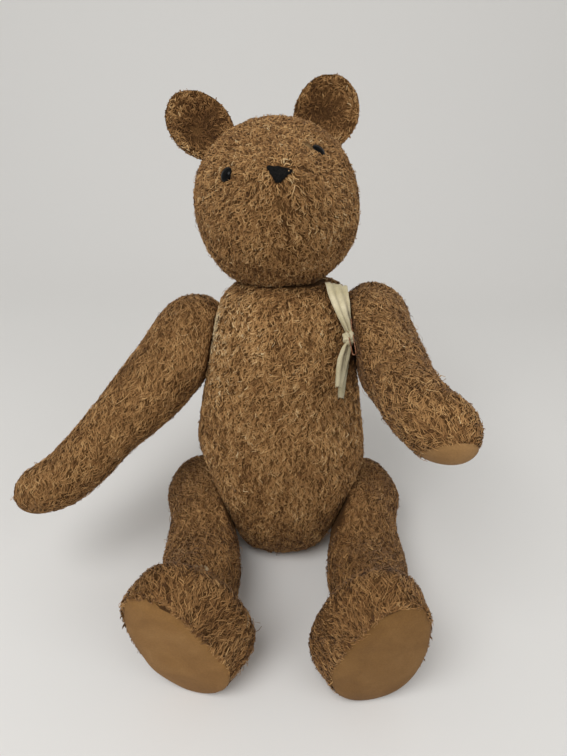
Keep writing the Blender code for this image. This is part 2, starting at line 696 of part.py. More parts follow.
def limb_surface(name, limb, part, side):
    """A limb in its joint's frame: splayed about its round top, with its foot turned, and flat on the torso's side."""
    mesh = loft(name, LIMB_ROWS[part], 14, 16, side)
    if part == "leg":
        move_points(mesh, lambda point: foot_turn(limb, side, -point.z) @ point)
    mesh.transform(splay_turn(limb, part, side))

    def flat(point):
        return Vector((side * max(0, side * point.x), point.y, point.z)) if -point.z < FLAT_DROP[part] else point

    move_points(mesh, flat)
    return mesh


def pad_block(name, limb, frame, part, side, gap):
    """A block that holds what lies beyond the pad's edge."""
    (y, z), (facing_y, facing_z) = PAD_CUT[part]
    facing = Vector((0, facing_y, facing_z)).normalized()
    lay = facing.to_track_quat("Z", "Y").to_matrix().to_4x4()
    lay.translation = Vector((0, y, z)) + facing * (BENEATH + gap)
    turn = foot_turn(limb, side, SOLE_DROP) if part == "leg" else Matrix.Identity(4)
    return add_cutter(name, block_mesh(name), frame, splay_turn(limb, part, side) @ turn @ lay)


def build_limb(name, bear, torso_cover):
    part = name.split("_")[1]
    side = 1 if name.startswith("left") else -1
    frame = new_frame(name + "_joint", bear.matrix_world @ limb_matrix(name), bear)
    mesh = limb_surface(name + "_cover", name, part, side)
    cover = add_cover(name + "_cover", mesh, frame)
    pad_name = name + ("_paw_pad" if part == "arm" else "_foot_pad")
    pad = add_cover(pad_name, mesh.copy(), frame)
    pad.data.materials.clear()
    pad.data.materials.append(new_material(pad_name, "suede"))
    combine(cover, "DIFFERENCE", pad_block(name + "_cover_cut", name, frame, part, side, 0))
    combine(pad, "INTERSECT", pad_block(name + "_pad_cut", name, frame, part, side, GAP))
    filling = limb_surface(name + "_stuffing", name, part, side)
    add_filling(name + "_stuffing", filling, frame, [((0, 0, 0), (-side, 0, 0))])
    socket = name.replace("arm", "shoulder").replace("leg", "hip")
    out = (side, 0, 0)
    add_joint_hardware(name, socket, frame, bear, out, DISC_RADIUS[part], (cover, torso_cover))


def build_bear():
    lean = Matrix.Rotation(math.radians(-LEAN_BACK), 4, "X")
    bear = new_frame("bear", lean)
    torso_cover = build_torso(bear)
    neck = new_frame("neck_joint", lean @ Matrix.Translation((0, 0, NECK_HEIGHT)), bear)
    head_cover = build_head(neck)
    add_joint_hardware("head", "neck", neck, bear, (0, 0, 1), DISC_RADIUS["neck"], (head_cover, torso_cover))
    for name in LIMBS:
        build_limb(name, bear, torso_cover)


clear_scene()
PARTS = new_collection("teddy_bear")
CUTTERS = new_collection("cutters", hidden=True)
build_bear()
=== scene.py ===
"""Looks of the threadbare jointed teddy bear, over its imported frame.

Everything is in metres and degrees. The bear faces -Y and its own left is +X. Each cover is lofted
again from the rows of the CAD model, finer, and carries its pile as short curved strands. A limb is
made in the frame of its joint and then put in its place.
"""

import json
import math

import bmesh
import bpy
import numpy as np
from mathutils import Matrix, Vector
from mathutils.bvhtree import BVHTree
from mathutils.kdtree import KDTree

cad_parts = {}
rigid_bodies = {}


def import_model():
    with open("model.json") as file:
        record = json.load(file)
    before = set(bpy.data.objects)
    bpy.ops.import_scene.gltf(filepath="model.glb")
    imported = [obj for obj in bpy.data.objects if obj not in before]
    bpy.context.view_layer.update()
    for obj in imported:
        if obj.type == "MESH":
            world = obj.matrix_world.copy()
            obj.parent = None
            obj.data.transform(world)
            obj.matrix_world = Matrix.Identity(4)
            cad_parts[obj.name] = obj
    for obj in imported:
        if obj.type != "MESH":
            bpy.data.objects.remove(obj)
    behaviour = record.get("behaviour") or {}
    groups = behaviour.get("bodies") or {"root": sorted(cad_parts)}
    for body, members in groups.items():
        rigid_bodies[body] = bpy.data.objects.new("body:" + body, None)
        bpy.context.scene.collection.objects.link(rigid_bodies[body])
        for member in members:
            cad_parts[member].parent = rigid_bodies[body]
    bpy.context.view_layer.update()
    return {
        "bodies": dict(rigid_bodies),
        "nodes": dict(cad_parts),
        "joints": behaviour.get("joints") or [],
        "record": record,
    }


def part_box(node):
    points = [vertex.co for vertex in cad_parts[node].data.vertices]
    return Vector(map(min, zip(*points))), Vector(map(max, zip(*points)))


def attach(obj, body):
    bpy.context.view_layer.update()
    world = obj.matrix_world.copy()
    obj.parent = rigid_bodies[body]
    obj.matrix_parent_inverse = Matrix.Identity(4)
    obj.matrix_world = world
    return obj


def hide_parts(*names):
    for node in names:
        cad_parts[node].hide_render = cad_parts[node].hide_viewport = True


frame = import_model()

# ---- Shapes, as in the CAD model -----------------------------------------------------------------
# Rows: the middle (x, z) of a cross-section, its half width, its depth to the front and the back.
TORSO_ROWS = (
    (0, -0.014, 0, 0, 0),
    (0, -0.007, 0.04, 0.042, 0.038),
    (0, 0.02, 0.068, 0.067, 0.058),
    (0, 0.062, 0.0803, 0.074, 0.062),
    (0, 0.108, 0.0812, 0.071, 0.06),
    (0, 0.155, 0.0755, 0.062, 0.057),
    (0.001, 0.192, 0.067, 0.053, 0.052),
    (0.003, 0.215, 0.056, 0.045, 0.046),
    (0.004, 0.231, 0.04, 0.034, 0.035),
    (0.004, 0.239, 0.02, 0.018, 0.018),
    (0.004, 0.241, 0, 0, 0),
)
HEAD_ROWS = (
    (0, -0.062, 0, 0, 0),
    (0, -0.055, 0.03, 0.03, 0.03),
    (0, -0.034, 0.054, 0.051, 0.052),
    (0, -0.002, 0.064, 0.06, 0.062),
    (0, 0.03, 0.061, 0.057, 0.061),
    (0, 0.053, 0.047, 0.043, 0.048),
    (0, 0.066, 0.025, 0.023, 0.026),
    (0, 0.069, 0, 0, 0),
)
ARM_ROWS = (
    (0.018, 0.034, 0, 0, 0),
    (0.018, 0.027, 0.016, 0.019, 0.019),
    (0.0192, 0.005, 0.029, 0.033, 0.033),
    (0.0198, -0.032, 0.0305, 0.034, 0.034),
    (0.026, -0.072, 0.028, 0.029, 0.029),
    (0.035, -0.11, 0.023, 0.023, 0.024),
    (0.042, -0.141, 0.022, 0.023, 0.023),
    (0.052, -0.165, 0.022, 0.022, 0.023),
    (0.058, -0.181, 0.013, 0.013, 0.014),
    (0.06, -0.186, 0, 0, 0),
)
LEG_ROWS = (
    (0.015, 0.034, 0, 0, 0),
    (0.015, 0.027, 0.02, 0.018, 0.018),
    (0.019, 0.008, 0.0313, 0.0225, 0.0225),
    (0.019, -0.035, 0.0313, 0.0225, 0.0225),
    (0.0285, -0.078, 0.0325, 0.0205, 0.0195),
    (0.032, -0.106, 0.03, 0.028, 0.027),
    (0.032, -0.13, 0.026, 0.0414, 0.0344),
    (0.02, -0.15, 0.037, 0.065, 0.041),
    (0.018, -0.166, 0.032, 0.069, 0.04),
    (0.018, -0.174, 0.028, 0.065, 0.035),
    (0.018, -0.176, 0, 0, 0),
)
LIMB_ROWS = {"arm": ARM_ROWS, "leg": LEG_ROWS}
LEAN_BACK = 9.0  # of the spine
NECK_HEIGHT = 0.230  # along the spine
HEAD_AT = (-0.0075, 0.0, 0.0535)  # its middle, from the neck joint
HEAD_TILT = 31.0  # of the face, back from the spine
HEAD_ROLL = 12.0  # of the crown, to the bear's right
HEAD_TURN = 6.0  # of the face, to the bear's left
MUZZLE_DROP = 0.016  # below the head's centre
MUZZLE_LENGTH = 0.026
MUZZLE_SPREAD = 0.031
EAR_SIZE = (0.026, 0.0055, 0.030)  # half width, half thickness, half height
EAR_CUP = 0.014  # how far the rim stands in front of the middle
# From the head's middle.
EAR_PLACE = {"left": (0.055, 0.002, 0.075), "right": (-0.050, 0.002, 0.084)}
EAR_FORWARD = 28.0  # of its top, against the tilt of the head
EAR_LEAN = 36.0  # outwards
EAR_TURN = {"left": 5.0, "right": 20.0}  # of its hollow towards the nose
LIMBS = {
    "left_arm": {"at": (0.0546, 0.0, 0.193), "axis": (1, 0, 0.16), "swing": 82.0, "splay": -6.0},
    "right_arm": {"at": (0.060, 0.0, 0.180), "axis": (1, 0, 0.16), "swing": 40.0, "splay": 17.0},
    "left_leg": {"at": (0.060, -0.009, 0.0449), "axis": (1, -0.18, -0.414), "swing": 84.9},
    "right_leg": {"at": (0.056, -0.0054, 0.0426), "axis": (1, -0.23, -0.417), "swing": 85.4},
}
TOES_OUT = {"left_leg": 22.4, "right_leg": 27.7}  # the way the sole faces, from the ankle down
TOES_LEAN = {"left_leg": -11.5, "right_leg": 0.6}  # of the foot, growing from knee to ankle
KNEE_DROP = 0.030  # from the hip joint
ANKLE_DROP = 0.100
ANKLE_ASIDE = 0.032  # from the joint's own plane
SOLE_DROP = 0.168
PAD_CUT = {"arm": ((0.0, -0.1775), (0.68, -0.73)), "leg": ((0.0, -0.1725), (0.0, -1.0))}
FLAT_DROP = {"arm": 1.0, "leg": 0.112}  # how far down a limb is flat on the torso's side

# ---- Looks ---------------------------------------------------------------------------------------
# The drawn-in lines under the nose, from (x, z) to (x, z) on the head.
MOUTH_SEAMS = (
    ((-0.001, -0.024), (-0.002, -0.036)),
    ((-0.002, -0.036), (-0.012, -0.047)),
    ((-0.002, -0.036), (0.009, -0.046)),
    ((-0.002, -0.036), (-0.001, -0.062)),
)
# Where the pile is open, from the middle of an eye (aside, radius) or the nose (x, z, radius).
EYE_OPENING = {"left": ((0.0013, 0.0, 0.0013), 0.0035), "right": ((-0.0014, 0.0, 0.0), 0.0044)}
NOSE_OPENING = (
    (-0.0052, 0.0022, 0.0030),
    (0.0052, 0.0022, 0.0030),
    (0.0, 0.0005, 0.0042),
    (0.0, -0.0030, 0.0028),
)
EYE_RADIUS = 0.0056
EYE_SINK = {"left": 0.0015, "right": 0.0003}  # into the pile
NOSE_SIZE = (0.0174, 0.0111)
WORN_PATCH_ASIDE = (-0.0092, -0.004, 0.0008)  # from the left eye
WORN_PATCH_SIZE = (0.0046, 0.0060, 0.0030)
SINK = 0.0007  # of the woven ground under the CAD surface, so that the pile fills up to it
ROOT_DEPTH = 0.0006  # of a strand's root in the ground
BLUNT = 0.4  # how long a strand's last stretch is against the others, so that its tip is blunt
PILE_GAP = 0.0012  # from where two covers meet, without pile
FLOOR_GAP = 0.0004  # under the lowest strands
# A kind of strand: how many on a square centimetre, points on it, length, width, how high it rises,
# how far a lock strays from the lie of the pile, how far a strand strays from its lock, how tightly
# it curls and how much it waves from point to point (degrees), how far it closes on the middle of
# its lock, how light it is, and how much its lightness varies, with the painted shade between
# locks.
# UNDER's low tone is painted shade: the strands that lie under the others are made darker.
UNDER = {
    "per_cm2": 13, "points": 3, "length": 0.0040, "width": 0.0012, "rise": 0.0008, "stray": 20,
    "loose": 22, "curl": 10, "wave": 0, "clump": 0.2, "tone": -0.15, "mottle_and_gap_shade": 0.08,
}
CURLS = {
    "per_cm2": 53, "points": 4, "length": 0.0062, "width": 0.00056, "rise": 0.0014, "stray": 14,
    "loose": 9, "curl": 8, "wave": 32, "clump": 0.6, "tone": 0.11, "mottle_and_gap_shade": 0.08,
}
COMBED = CURLS | {
    "length": 0.0064, "width": 0.00049, "rise": 0.0012, "stray": 11, "wave": 25, "tone": 0.090,
    "mottle_and_gap_shade": 0.062,
}
STRAYS = {
    "per_cm2": 0.4, "points": 6, "length": 0.0110, "width": 0.0004, "rise": 0.0032, "stray": 40,
    "loose": 60, "curl": 24, "wave": 0, "clump": 0.0, "tone": 0.12, "mottle_and_gap_shade": 0.08,
}
ROOT_REACH = 0.035  # from a joint, what a limb or the head covers on the torso
RIGHT_SHOULDER = 2  # of torso_joints()
LOCKS_PER_CM2 = 20
LOCK_RADIUS = 0.0011
LOCK_STRETCH = np.array((1.0, 1.0, 0.5))  # a lock is longer along the lie of the pile
PAD_LIGHT = {
    "left_arm": (1.22, 1.32, 1.65),
    "right_arm": 0.90,
    "left_leg": 0.90,
    "right_leg": (1.12, 1.13, 1.16),
}  # of its suede against the plain one, as painted light and shade on each pad
SEAM_TILT = {"arm": (0.0, 0.0), "leg": (0.05, 0.04)}  # of the seam, up the outer side and the heel
PAD_WORN_BACK = {"arm": 0.0050, "leg": -0.0015}  # how far past the CAD seam the cover reaches
ROOT_DROP = {"arm": 0.042, "leg": 0.070}  # how far down a limb is bare where it meets the torso
PAD_THICKNESS = 0.0016
SATIN_THICKNESS = 0.0002
FLOOR_COLOUR = (0.78, 0.77, 0.75, 1.0)
BACKDROP_AT = 0.55  # behind the bear, where the floor starts to rise
BACKDROP_BEND = 0.6
WORLD_COLOUR = (1.0, 0.99, 0.97, 1.0)
WORLD_STRENGTH = 0.42
# Where each lamp is, its size and its power.
LAMPS = {"key": ((-0.55, -0.9, 1.5), 1.1, 17.0), "fill": ((1.0, -1.0, 0.9), 1.2, 5.0)}
LAMPS_AIM = Vector((0, 0, 0.15))
CAMERA_AT = (0.0, -0.412, 0.385)
CAMERA_PITCH = 29.274  # down
CAMERA_ROLL = 1.463
CAMERA_LENS = 27.05  # mm, on a sensor 36 mm wide


# ---- Meshes --------------------------------------------------------------------------------------
def smooth_rows(rows, count):
    """Evenly spaced rows on a Catmull-Rom curve. Mirrored rows past each end close it round."""
    rows = np.array(rows, float)
    mirrored = np.array([1, 1, -1, -1, -1])
    rows = np.vstack([rows[1] * mirrored, rows, rows[-2] * mirrored])
    fine = []
    for before, start, end, after in zip(rows, rows[1:], rows[2:], rows[3:]):
        for t in np.linspace(0, 1, 24, endpoint=False):
            bend = 2 * before - 5 * start + 4 * end - after
            twist = 3 * start - before - 3 * end + after
            fine.append(start + 0.5 * ((end - before) * t + bend * t**2 + twist * t**3))
    fine = np.array([*fine, rows[-2]])
    along = np.concatenate([[0], np.cumsum(np.linalg.norm(np.diff(fine, axis=0), axis=1))])
    wanted = np.linspace(0, along[-1], count)
    return np.column_stack([np.interp(wanted, along, column) for column in fine.T])


def around_rings(name, rings, ends=(None, None)):
    """A closed mesh through rings of points. Each end is a point, or None for a flat face."""
    shape = bmesh.new()
    loops = [[shape.verts.new(point) for point in ring] for ring in rings]
    for lower, upper in zip(loops, loops[1:]):
        for a in range(len(lower)):
            b = (a + 1) % len(lower)
            shape.faces.new((lower[a], lower[b], upper[b], upper[a]))
    for loop, end in zip((loops[0], loops[-1]), ends):
        if end is None:
            shape.faces.new(loop)
            continue
        tip = shape.verts.new(end)
        for a in range(len(loop)):
            shape.faces.new((loop[a], loop[(a + 1) % len(loop)], tip))
    bmesh.ops.recalc_face_normals(shape, faces=shape.faces)
    return finished(name, shape)


def loft(name, rows, count, around, side=1):
    """A closed mesh through the rows, with a point at each end. side -1 mirrors it in x."""
    rows = smooth_rows(rows, count + 2)
    rings = []
    for x, z, width, front, back in rows[1:-1]:
        ring = []
        for step in range(around):
            turn = 2 * math.pi * step / around
            depth = back if math.sin(turn) > 0 else front
            ring.append((side * (x + width * math.cos(turn)), depth * math.sin(turn), z))
        rings.append(ring)
    return around_rings(name, rings, [(side * x, 0, z) for x, z, *_ in (rows[0], rows[-1])])


def finished(name, shape):
    """The mesh of a bmesh, which is freed."""
    mesh = bpy.data.meshes.new(name)
    shape.to_mesh(mesh)
    shape.free()
    mesh.shade_smooth()
    return mesh


def points_of(mesh):
    points = np.empty(len(mesh.vertices) * 3)
    mesh.vertices.foreach_get("co", points)
    return points.reshape(-1, 3)


def normals_of(mesh):
    normals = np.empty(len(mesh.vertices) * 3, np.float32)
    mesh.vertex_normals.foreach_get("vector", normals)
    return normals.reshape(-1, 3).astype(float)


def set_points(mesh, points):
    mesh.vertices.foreach_set("co", np.asarray(points, float).ravel())
    mesh.update()


def triangles_of(mesh):
    mesh.calc_loop_triangles()
    corners = np.empty(len(mesh.loop_triangles) * 3, np.int32)
    mesh.loop_triangles.foreach_get("vertices", corners)
    return corners.reshape(-1, 3)


def mesh_from(name, points, corners):
    """A smooth mesh from arrays of points and of triangles."""
    mesh = bpy.data.meshes.new(name)
    mesh.vertices.add(len(points))
    mesh.vertices.foreach_set("co", np.asarray(points, np.float32).ravel())
    mesh.loops.add(corners.size)
    mesh.loops.foreach_set("vertex_index", corners.astype(np.int32).ravel())
    mesh.polygons.add(len(corners))
    mesh.polygons.foreach_set("loop_start", np.arange(0, corners.size, 3, dtype=np.int32))
    mesh.update(calc_edges=True)
    mesh.validate()
    mesh.shade_smooth()
    return mesh


def offset(mesh, distance):
    set_points(mesh, points_of(mesh) + normals_of(mesh) * distance)


def press(mesh, at, facing, soft=1e-5):
    """Flattens what stands beyond a plane on to it, with a rounded edge of about that softness."""
    facing = np.array(Vector(facing).normalized())
    points = points_of(mesh)
    beyond = soft * np.logaddexp(0, ((points - np.array(at)) @ facing) / soft)
    set_points(mesh, points - np.outer(beyond, facing))


def waves(points, length, seed):
    """Smooth noise of about -1 to 1, from plane waves of about that length."""
    rng = np.random.default_rng(seed)
    ways = rng.normal(size=(3, 16))
    ways *= 2 * math.pi / length * rng.uniform(0.6, 1.5, 16) / np.linalg.norm(ways, axis=0)
    return np.sin(points @ ways + rng.uniform(0, 2 * math.pi, 16)).mean(-1) * 2.6


def fade(off, size):
    """1 where nothing is off, fading to 0 at about twice the size."""
    return np.exp(-((off / size) ** 2))


def bump(points, at, size):
    """1 at a place, fading to 0 at about twice the size from it."""
    return np.exp(-(((points - at) / size) ** 2).sum(1))


def unit(vectors):
    return vectors / np.maximum(np.linalg.norm(vectors, axis=-1, keepdims=True), 1e-9)


def tree_of(mesh):
    faces = [polygon.vertices[:] for polygon in mesh.polygons]
    return BVHTree.FromPolygons([vertex.co for vertex in mesh.vertices], faces)


def turned(degrees, axis):
    return Matrix.Rotation(math.radians(degrees), 4, axis)


def framed(x, y, z, at):
    """A frame with these axes, at a point."""
    frame = Matrix((x, y, z)).transposed().to_4x4()
    frame.translation = at
    return frame


def link(obj):
    bpy.context.scene.collection.objects.link(obj)
    return obj


def add_piece(name, mesh, body, material, place=None, stands_for=()):
    """A piece in the row's frame, on a body."""
    if place is not None:
        mesh.transform(place)
    piece = link(bpy.data.objects.new(name, mesh))
    mesh.materials.clear()
    mesh.materials.append(material)
    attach(piece, body)
    if stands_for:
        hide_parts(*stands_for)
    return piece


# ---- Materials -----------------------------------------------------------------------------------
class Nodes:
    """A material's nodes, by short calls."""

    def __init__(self, name, roughness, **fixed):
        self.material = bpy.data.materials.new(name)
        self.material.use_nodes = True
        self.tree = self.material.node_tree
        self.shader = self.tree.nodes["Principled BSDF"]
        self.shader.inputs["Roughness"].default_value = roughness
        for socket, value in fixed.items():
            self.shader.inputs[socket.replace("_", " ")].default_value = value

    def add(self, kind, inputs=None, **settings):
        node = self.tree.nodes.new(kind)
        for setting, value in settings.items():
            setattr(node, setting, value)
        for socket, value in (inputs or {}).items():
            if isinstance(value, bpy.types.NodeSocket):
                self.tree.links.new(value, node.inputs[socket])
            else:
                node.inputs[socket].default_value = value
        return node

    def noise(self, scale, detail=3.0, distortion=0.0):
        place = self.add("ShaderNodeTexCoord").outputs["Object"]
        inputs = {"Vector": place, "Scale": scale, "Detail": detail, "Distortion": distortion}
        return self.add("ShaderNodeTexNoise", inputs).outputs["Fac"]

    def ramp(self, value, *stops):
        """A colour ramp. A stop is a position and a colour, or one number for a grey."""
        node = self.add("ShaderNodeValToRGB", {"Fac": value})
        elements = node.color_ramp.elements
        while len(elements) < len(stops):
            elements.new(0.5)
        for element, (at, colour) in zip(elements, stops):
            element.position = at
            element.color = (*np.broadcast_to(colour, 3).tolist(), 1.0)
        return node.outputs["Color"]

    def grain(self, scale, low, high, detail=3.0, distortion=0.0):
        """Noise between two stops."""
        return self.ramp(self.noise(scale, detail, distortion), low, high)

    def mix(self, first, second, blend="MULTIPLY", amount=1.0):
        inputs = {0: amount, 6: first, 7: second}
        return self.add("ShaderNodeMix", inputs, data_type="RGBA", blend_type=blend).outputs[2]

    def colour(self, socket):
        self.tree.links.new(socket, self.shader.inputs["Base Color"])

    def rough(self, socket):
        self.tree.links.new(socket, self.shader.inputs["Roughness"])

    def bump(self, height, distance):
        node = self.add("ShaderNodeBump", {"Height": height, "Distance": distance})
        self.tree.links.new(node.outputs["Normal"], self.shader.inputs["Normal"])


def lit(light, *stops):
    """Ramp stops with their colours made lighter or darker."""
    return [(at, np.multiply(light, colour)) for at, colour in stops]


def pile_material():
    """Mohair: the strand's lightness, its own and the painted light and shade set on it, picks a
    colour from dirty brown to faded gold.
    """
    m = Nodes("mohair_pile", 0.75, Sheen_Weight=0.06, Sheen_Roughness=0.5, Specular_IOR_Level=0.15)
    colour = m.ramp(
        m.add("ShaderNodeAttribute", attribute_name="tone").outputs["Fac"],
        (0.00, (0.078, 0.033, 0.010)),
        (0.30, (0.215, 0.102, 0.034)),
        (0.52, (0.370, 0.196, 0.072)),
        (0.70, (0.520, 0.300, 0.120)),
        (0.86, (0.660, 0.430, 0.200)),
        (1.00, (0.820, 0.660, 0.400)),
    )
    m.colour(m.mix(colour, m.grain(28.0, (0.30, (0.80, 0.77, 0.74)), (0.62, 1.0), 4.0)))
    return m.material


def shaded_ground_material():
    """Short felted fibres at the root of the pile, kept dark as painted shade deep in the pile,
    rubbed to the cloth where bare.
    """
    m = Nodes("felted_ground_in_painted_shade", 0.95, Specular_IOR_Level=0.1)
    # Painted shade: the ground's colours are dark so that the gaps between strands look shaded.
    patches = m.grain(60.0, (0.3, (0.070, 0.034, 0.012)), (0.7, (0.150, 0.078, 0.029)), 4.0)
    fibres = m.grain(520.0, (0.32, (0.45, 0.42, 0.40)), (0.66, (1.35, 1.30, 1.25)), 4.0, 2.5)
    cloth = m.grain(900.0, (0.3, (0.185, 0.115, 0.050)), (0.7, (0.330, 0.220, 0.105)))
    bare = m.add("ShaderNodeAttribute", attribute_name="bare").outputs["Fac"]
    m.colour(m.mix(m.mix(patches, fibres), cloth, "MIX", bare))
    m.bump(m.noise(520.0, 4.0, 2.5), 0.0009)
    return m.material


def suede_material(name, light):
    """Worn suede: a fine nap, faint long scuffs and slightly darker patches."""
    m = Nodes("worn_suede_" + name, 0.88, Sheen_Weight=0.04, Specular_IOR_Level=0.12)
    dark, plain, scuffed = (0.190, 0.094, 0.028), (0.235, 0.121, 0.038), (0.275, 0.148, 0.051)
    # light makes this copy of the suede lighter or darker: painted light and shade.
    stops = lit(light, (0.25, dark), (0.55, plain), (0.80, scuffed))
    nap = m.grain(900.0, (0.25, (0.86, 0.85, 0.84)), (0.75, (1.06, 1.05, 1.04)))
    m.colour(m.mix(m.ramp(m.noise(42.0, 6.0, 0.8), *stops), nap))
    m.bump(m.noise(1400.0), 0.0002)
    return m.material


def glass_material():
    """A black glass button, dulled by fine scratches."""
    m = Nodes("black_button", 0.1, Specular_IOR_Level=0.09)
    m.colour(m.grain(220.0, (0.3, 0.002), (0.8, 0.005)))
    m.rough(m.grain(420.0, (0.35, 0.05), (0.75, 0.16), 4.0, 0.6))
    return m.material


def felt_material():
    m = Nodes("black_felt", 0.95, Specular_IOR_Level=0.08)
    m.colour(m.grain(900.0, (0.3, 0.003), (0.75, (0.014, 0.013, 0.012)), 4.0))
    m.bump(m.noise(1500.0), 0.0003)
    return m.material


def satin_material(name, light):
    """Aged satin: fine threads along the ribbon, yellowed in patches."""
    m = Nodes(name, 0.5, Sheen_Weight=0.15, Specular_IOR_Level=0.35)
    # light makes this copy of the satin lighter or darker: painted light and shade.
    stops = lit(light, (0.3, (0.560, 0.485, 0.290)), (0.7, (0.740, 0.660, 0.455)))
    threads = m.grain(1100.0, (0.3, (0.88, 0.88, 0.86)), (0.7, 1.04), 2.0)
    m.colour(m.mix(m.grain(90.0, *stops, 4.0), threads))
    m.bump(m.noise(1600.0, 2.0), 0.00015)
    return m.material


def rust_material():
    """Steel wire gone coppery and brown."""
    m = Nodes("rusty_wire", 0.5, Metallic=0.6)
    brown, copper, bright = (0.120, 0.045, 0.022), (0.330, 0.130, 0.060), (0.520, 0.330, 0.220)
    m.colour(m.ramp(m.noise(600.0, 5.0), (0.30, brown), (0.50, copper), (0.75, bright)))
    m.rough(m.grain(900.0, (0.3, 0.35), (0.7, 0.75)))
    return m.material


def stuffing_material():
    m = Nodes("kapok_stuffing", 0.95, Specular_IOR_Level=0.1)
    m.colour(m.grain(260.0, (0.3, (0.38, 0.28, 0.15)), (0.7, (0.70, 0.58, 0.38)), 6.0, 1.5))
    m.bump(m.noise(500.0, 5.0, 1.0), 0.001)
    return m.material


def board_material():
    m = Nodes("pressed_board", 0.85, Specular_IOR_Level=0.2)
    m.colour(m.grain(350.0, (0.3, (0.20, 0.125, 0.065)), (0.7, (0.34, 0.23, 0.13)), 5.0))
    m.bump(m.noise(900.0, 4.0), 0.0002)
    return m.material


def steel_material():
    m = Nodes("dull_steel", 0.4, Metallic=1.0)
    m.colour(m.grain(400.0, (0.35, (0.25, 0.17, 0.12)), (0.6, (0.50, 0.49, 0.48)), 5.0))
    m.rough(m.grain(700.0, (0.3, 0.30), (0.7, 0.65)))
    return m.material


# ---- Pile ----------------------------------------------------------------------------------------
def sprinkle(mesh, per_cm2, rng):
    """Random points on a mesh, evenly by area, with their normals."""
    points, normals, corners = points_of(mesh), normals_of(mesh), triangles_of(mesh)
    a, b, c = (points[corners[:, k]] for k in range(3))
    area = np.linalg.norm(np.cross(b - a, c - a), axis=1) / 2
    total = np.cumsum(area)
    picked = np.searchsorted(total, rng.uniform(0, total[-1], int(total[-1] * 1e4 * per_cm2)))
    one, two = rng.uniform(size=(2, len(picked), 1))
    over = one + two > 1
    one, two = np.where(over, 1 - one, one), np.where(over, 1 - two, two)
    weights = (1 - one - two, one, two)

    def between(values):
        return sum(weight * values[corners[picked, k]] for k, weight in enumerate(weights))

    return between(points), unit(between(normals))


def locks_of(skin, rng):
    """Where each lock of the pile grows, and its own turn, curl, height and lightness."""
    centres, _ = sprinkle(skin, LOCKS_PER_CM2, rng)
    finder = KDTree(len(centres))
    for number, centre in enumerate((centres * LOCK_STRETCH).tolist()):
        finder.insert(centre, number)
    finder.balance()
    traits = rng.normal(size=(len(centres), 4))
    traits[:, 1] = np.sign(traits[:, 1]) * rng.uniform(0.5, 1.4, len(centres))
    return centres, finder, traits


def spines(kind, roots, normals, flow, tall, locks, tree, rng):
    """Points on the middle of each strand, the way off the skin there, and its lock's lightness,
    less painted shade between locks.
    """
    count, links = len(roots), kind["points"] - 1
    centres, finder, traits = locks
    nearest = [finder.find(root)[1:] for root in (roots * LOCK_STRETCH).tolist()]
    lock = np.array([number for number, _ in nearest])
    apart = np.minimum(np.array([distance for _, distance in nearest]) / LOCK_RADIUS, 1.3)
    lock_turn, lock_curl, lock_rise, lock_tone = traits[lock].T
    inward = centres[lock] - roots
    inward -= normals * (inward * normals).sum(1, keepdims=True)
    lie = unit(flow - normals * (flow * normals).sum(1, keepdims=True))
    across = np.cross(normals, lie)
    inward -= lie * (inward * lie).sum(1, keepdims=True)
    heading = kind["stray"] * (0.8 * waves(roots, 0.020, 3) + 0.8 * lock_turn)
    heading = np.radians(heading + rng.normal(0, kind["loose"], count))
    curl = np.radians(kind["curl"] * lock_curl + rng.normal(0, 5, count))
    shaken = rng.normal(0, 8, count) * (kind["wave"] > 0)
    wave = np.radians(kind["wave"] * np.sign(lock_curl) + shaken)
    long = kind["length"] * rng.lognormal(0, 0.18, count) * tall
    high = kind["rise"] * rng.lognormal(0, 0.22, count) * tall
    high *= np.maximum(0.25, 1.08 + 0.22 * lock_rise - 0.50 * apart**2)
    droop = rng.uniform(0.05, 0.55, count)
    spine = np.empty((count, links + 1, 3))
    outward = np.empty_like(spine)
    spine[:, 0] = roots - normals * ROOT_DEPTH
    outward[:, 0] = normals
    flat = roots.copy()
    for k in range(1, links + 1):
        turn = heading + curl * (k - 0.5) + wave * (-1) ** k
        share = (BLUNT if k == links else 1) / (links - 1 + BLUNT)
        way = lie * np.cos(turn)[:, None] + across * np.sin(turn)[:, None]
        flat = flat + way * (long * share)[:, None] + inward * (kind["clump"] * share)
        t = min(1, k / (links - 1 + BLUNT))
        height = high * (math.sin(math.pi * 0.62 * t**0.75) * (1 - t**3) + droop * t**3)
        outward[:, k] = normals
        if links > 2:
            near = [tree.find_nearest(point)[:2] for point in flat.tolist()]
            flat, outward[:, k] = (np.array(found) for found in zip(*near))
        spine[:, k] = flat + outward[:, k] * height[:, None]
    # Painted shade: strands far from the middle of their lock, in the gaps between locks, are made
    # darker.
    return spine, outward, 1.06 * lock_tone - 1.75 * apart**2


def ribbons(spine, outward, width, rng):
    """A narrowing strip of triangles along each spine: (points, triangles)."""
    count, links = len(spine), spine.shape[1] - 1
    along = unit(np.gradient(spine, axis=1))
    side = unit(np.cross(along, unit(outward)))
    roll = rng.normal(0, 0.5, (count, 1, 1))
    side = side * np.cos(roll) + np.cross(along, side) * np.sin(roll)
    half = width / 2 * rng.uniform(0.75, 1.25, (count, 1, 1))
    taper = side[:, :-1] * ((1 - 0.4 * (np.arange(links) / links)[None, :, None] ** 2) * half)
    pairs = np.stack([spine[:, :-1] - taper, spine[:, :-1] + taper], axis=2)
    points = np.concatenate([pairs.reshape(count, -1, 3), spine[:, -1:]], axis=1)
    pattern = []
    for k in range(links - 1):
        pattern += [(2 * k, 2 * k + 1, 2 * k + 3), (2 * k, 2 * k + 3, 2 * k + 2)]
    pattern.append((2 * links - 2, 2 * links - 1, 2 * links))
    first = np.arange(count)[:, None, None] * (2 * links + 1)
    return points.reshape(-1, 3), (first + np.array(pattern)[None]).reshape(-1, 3)


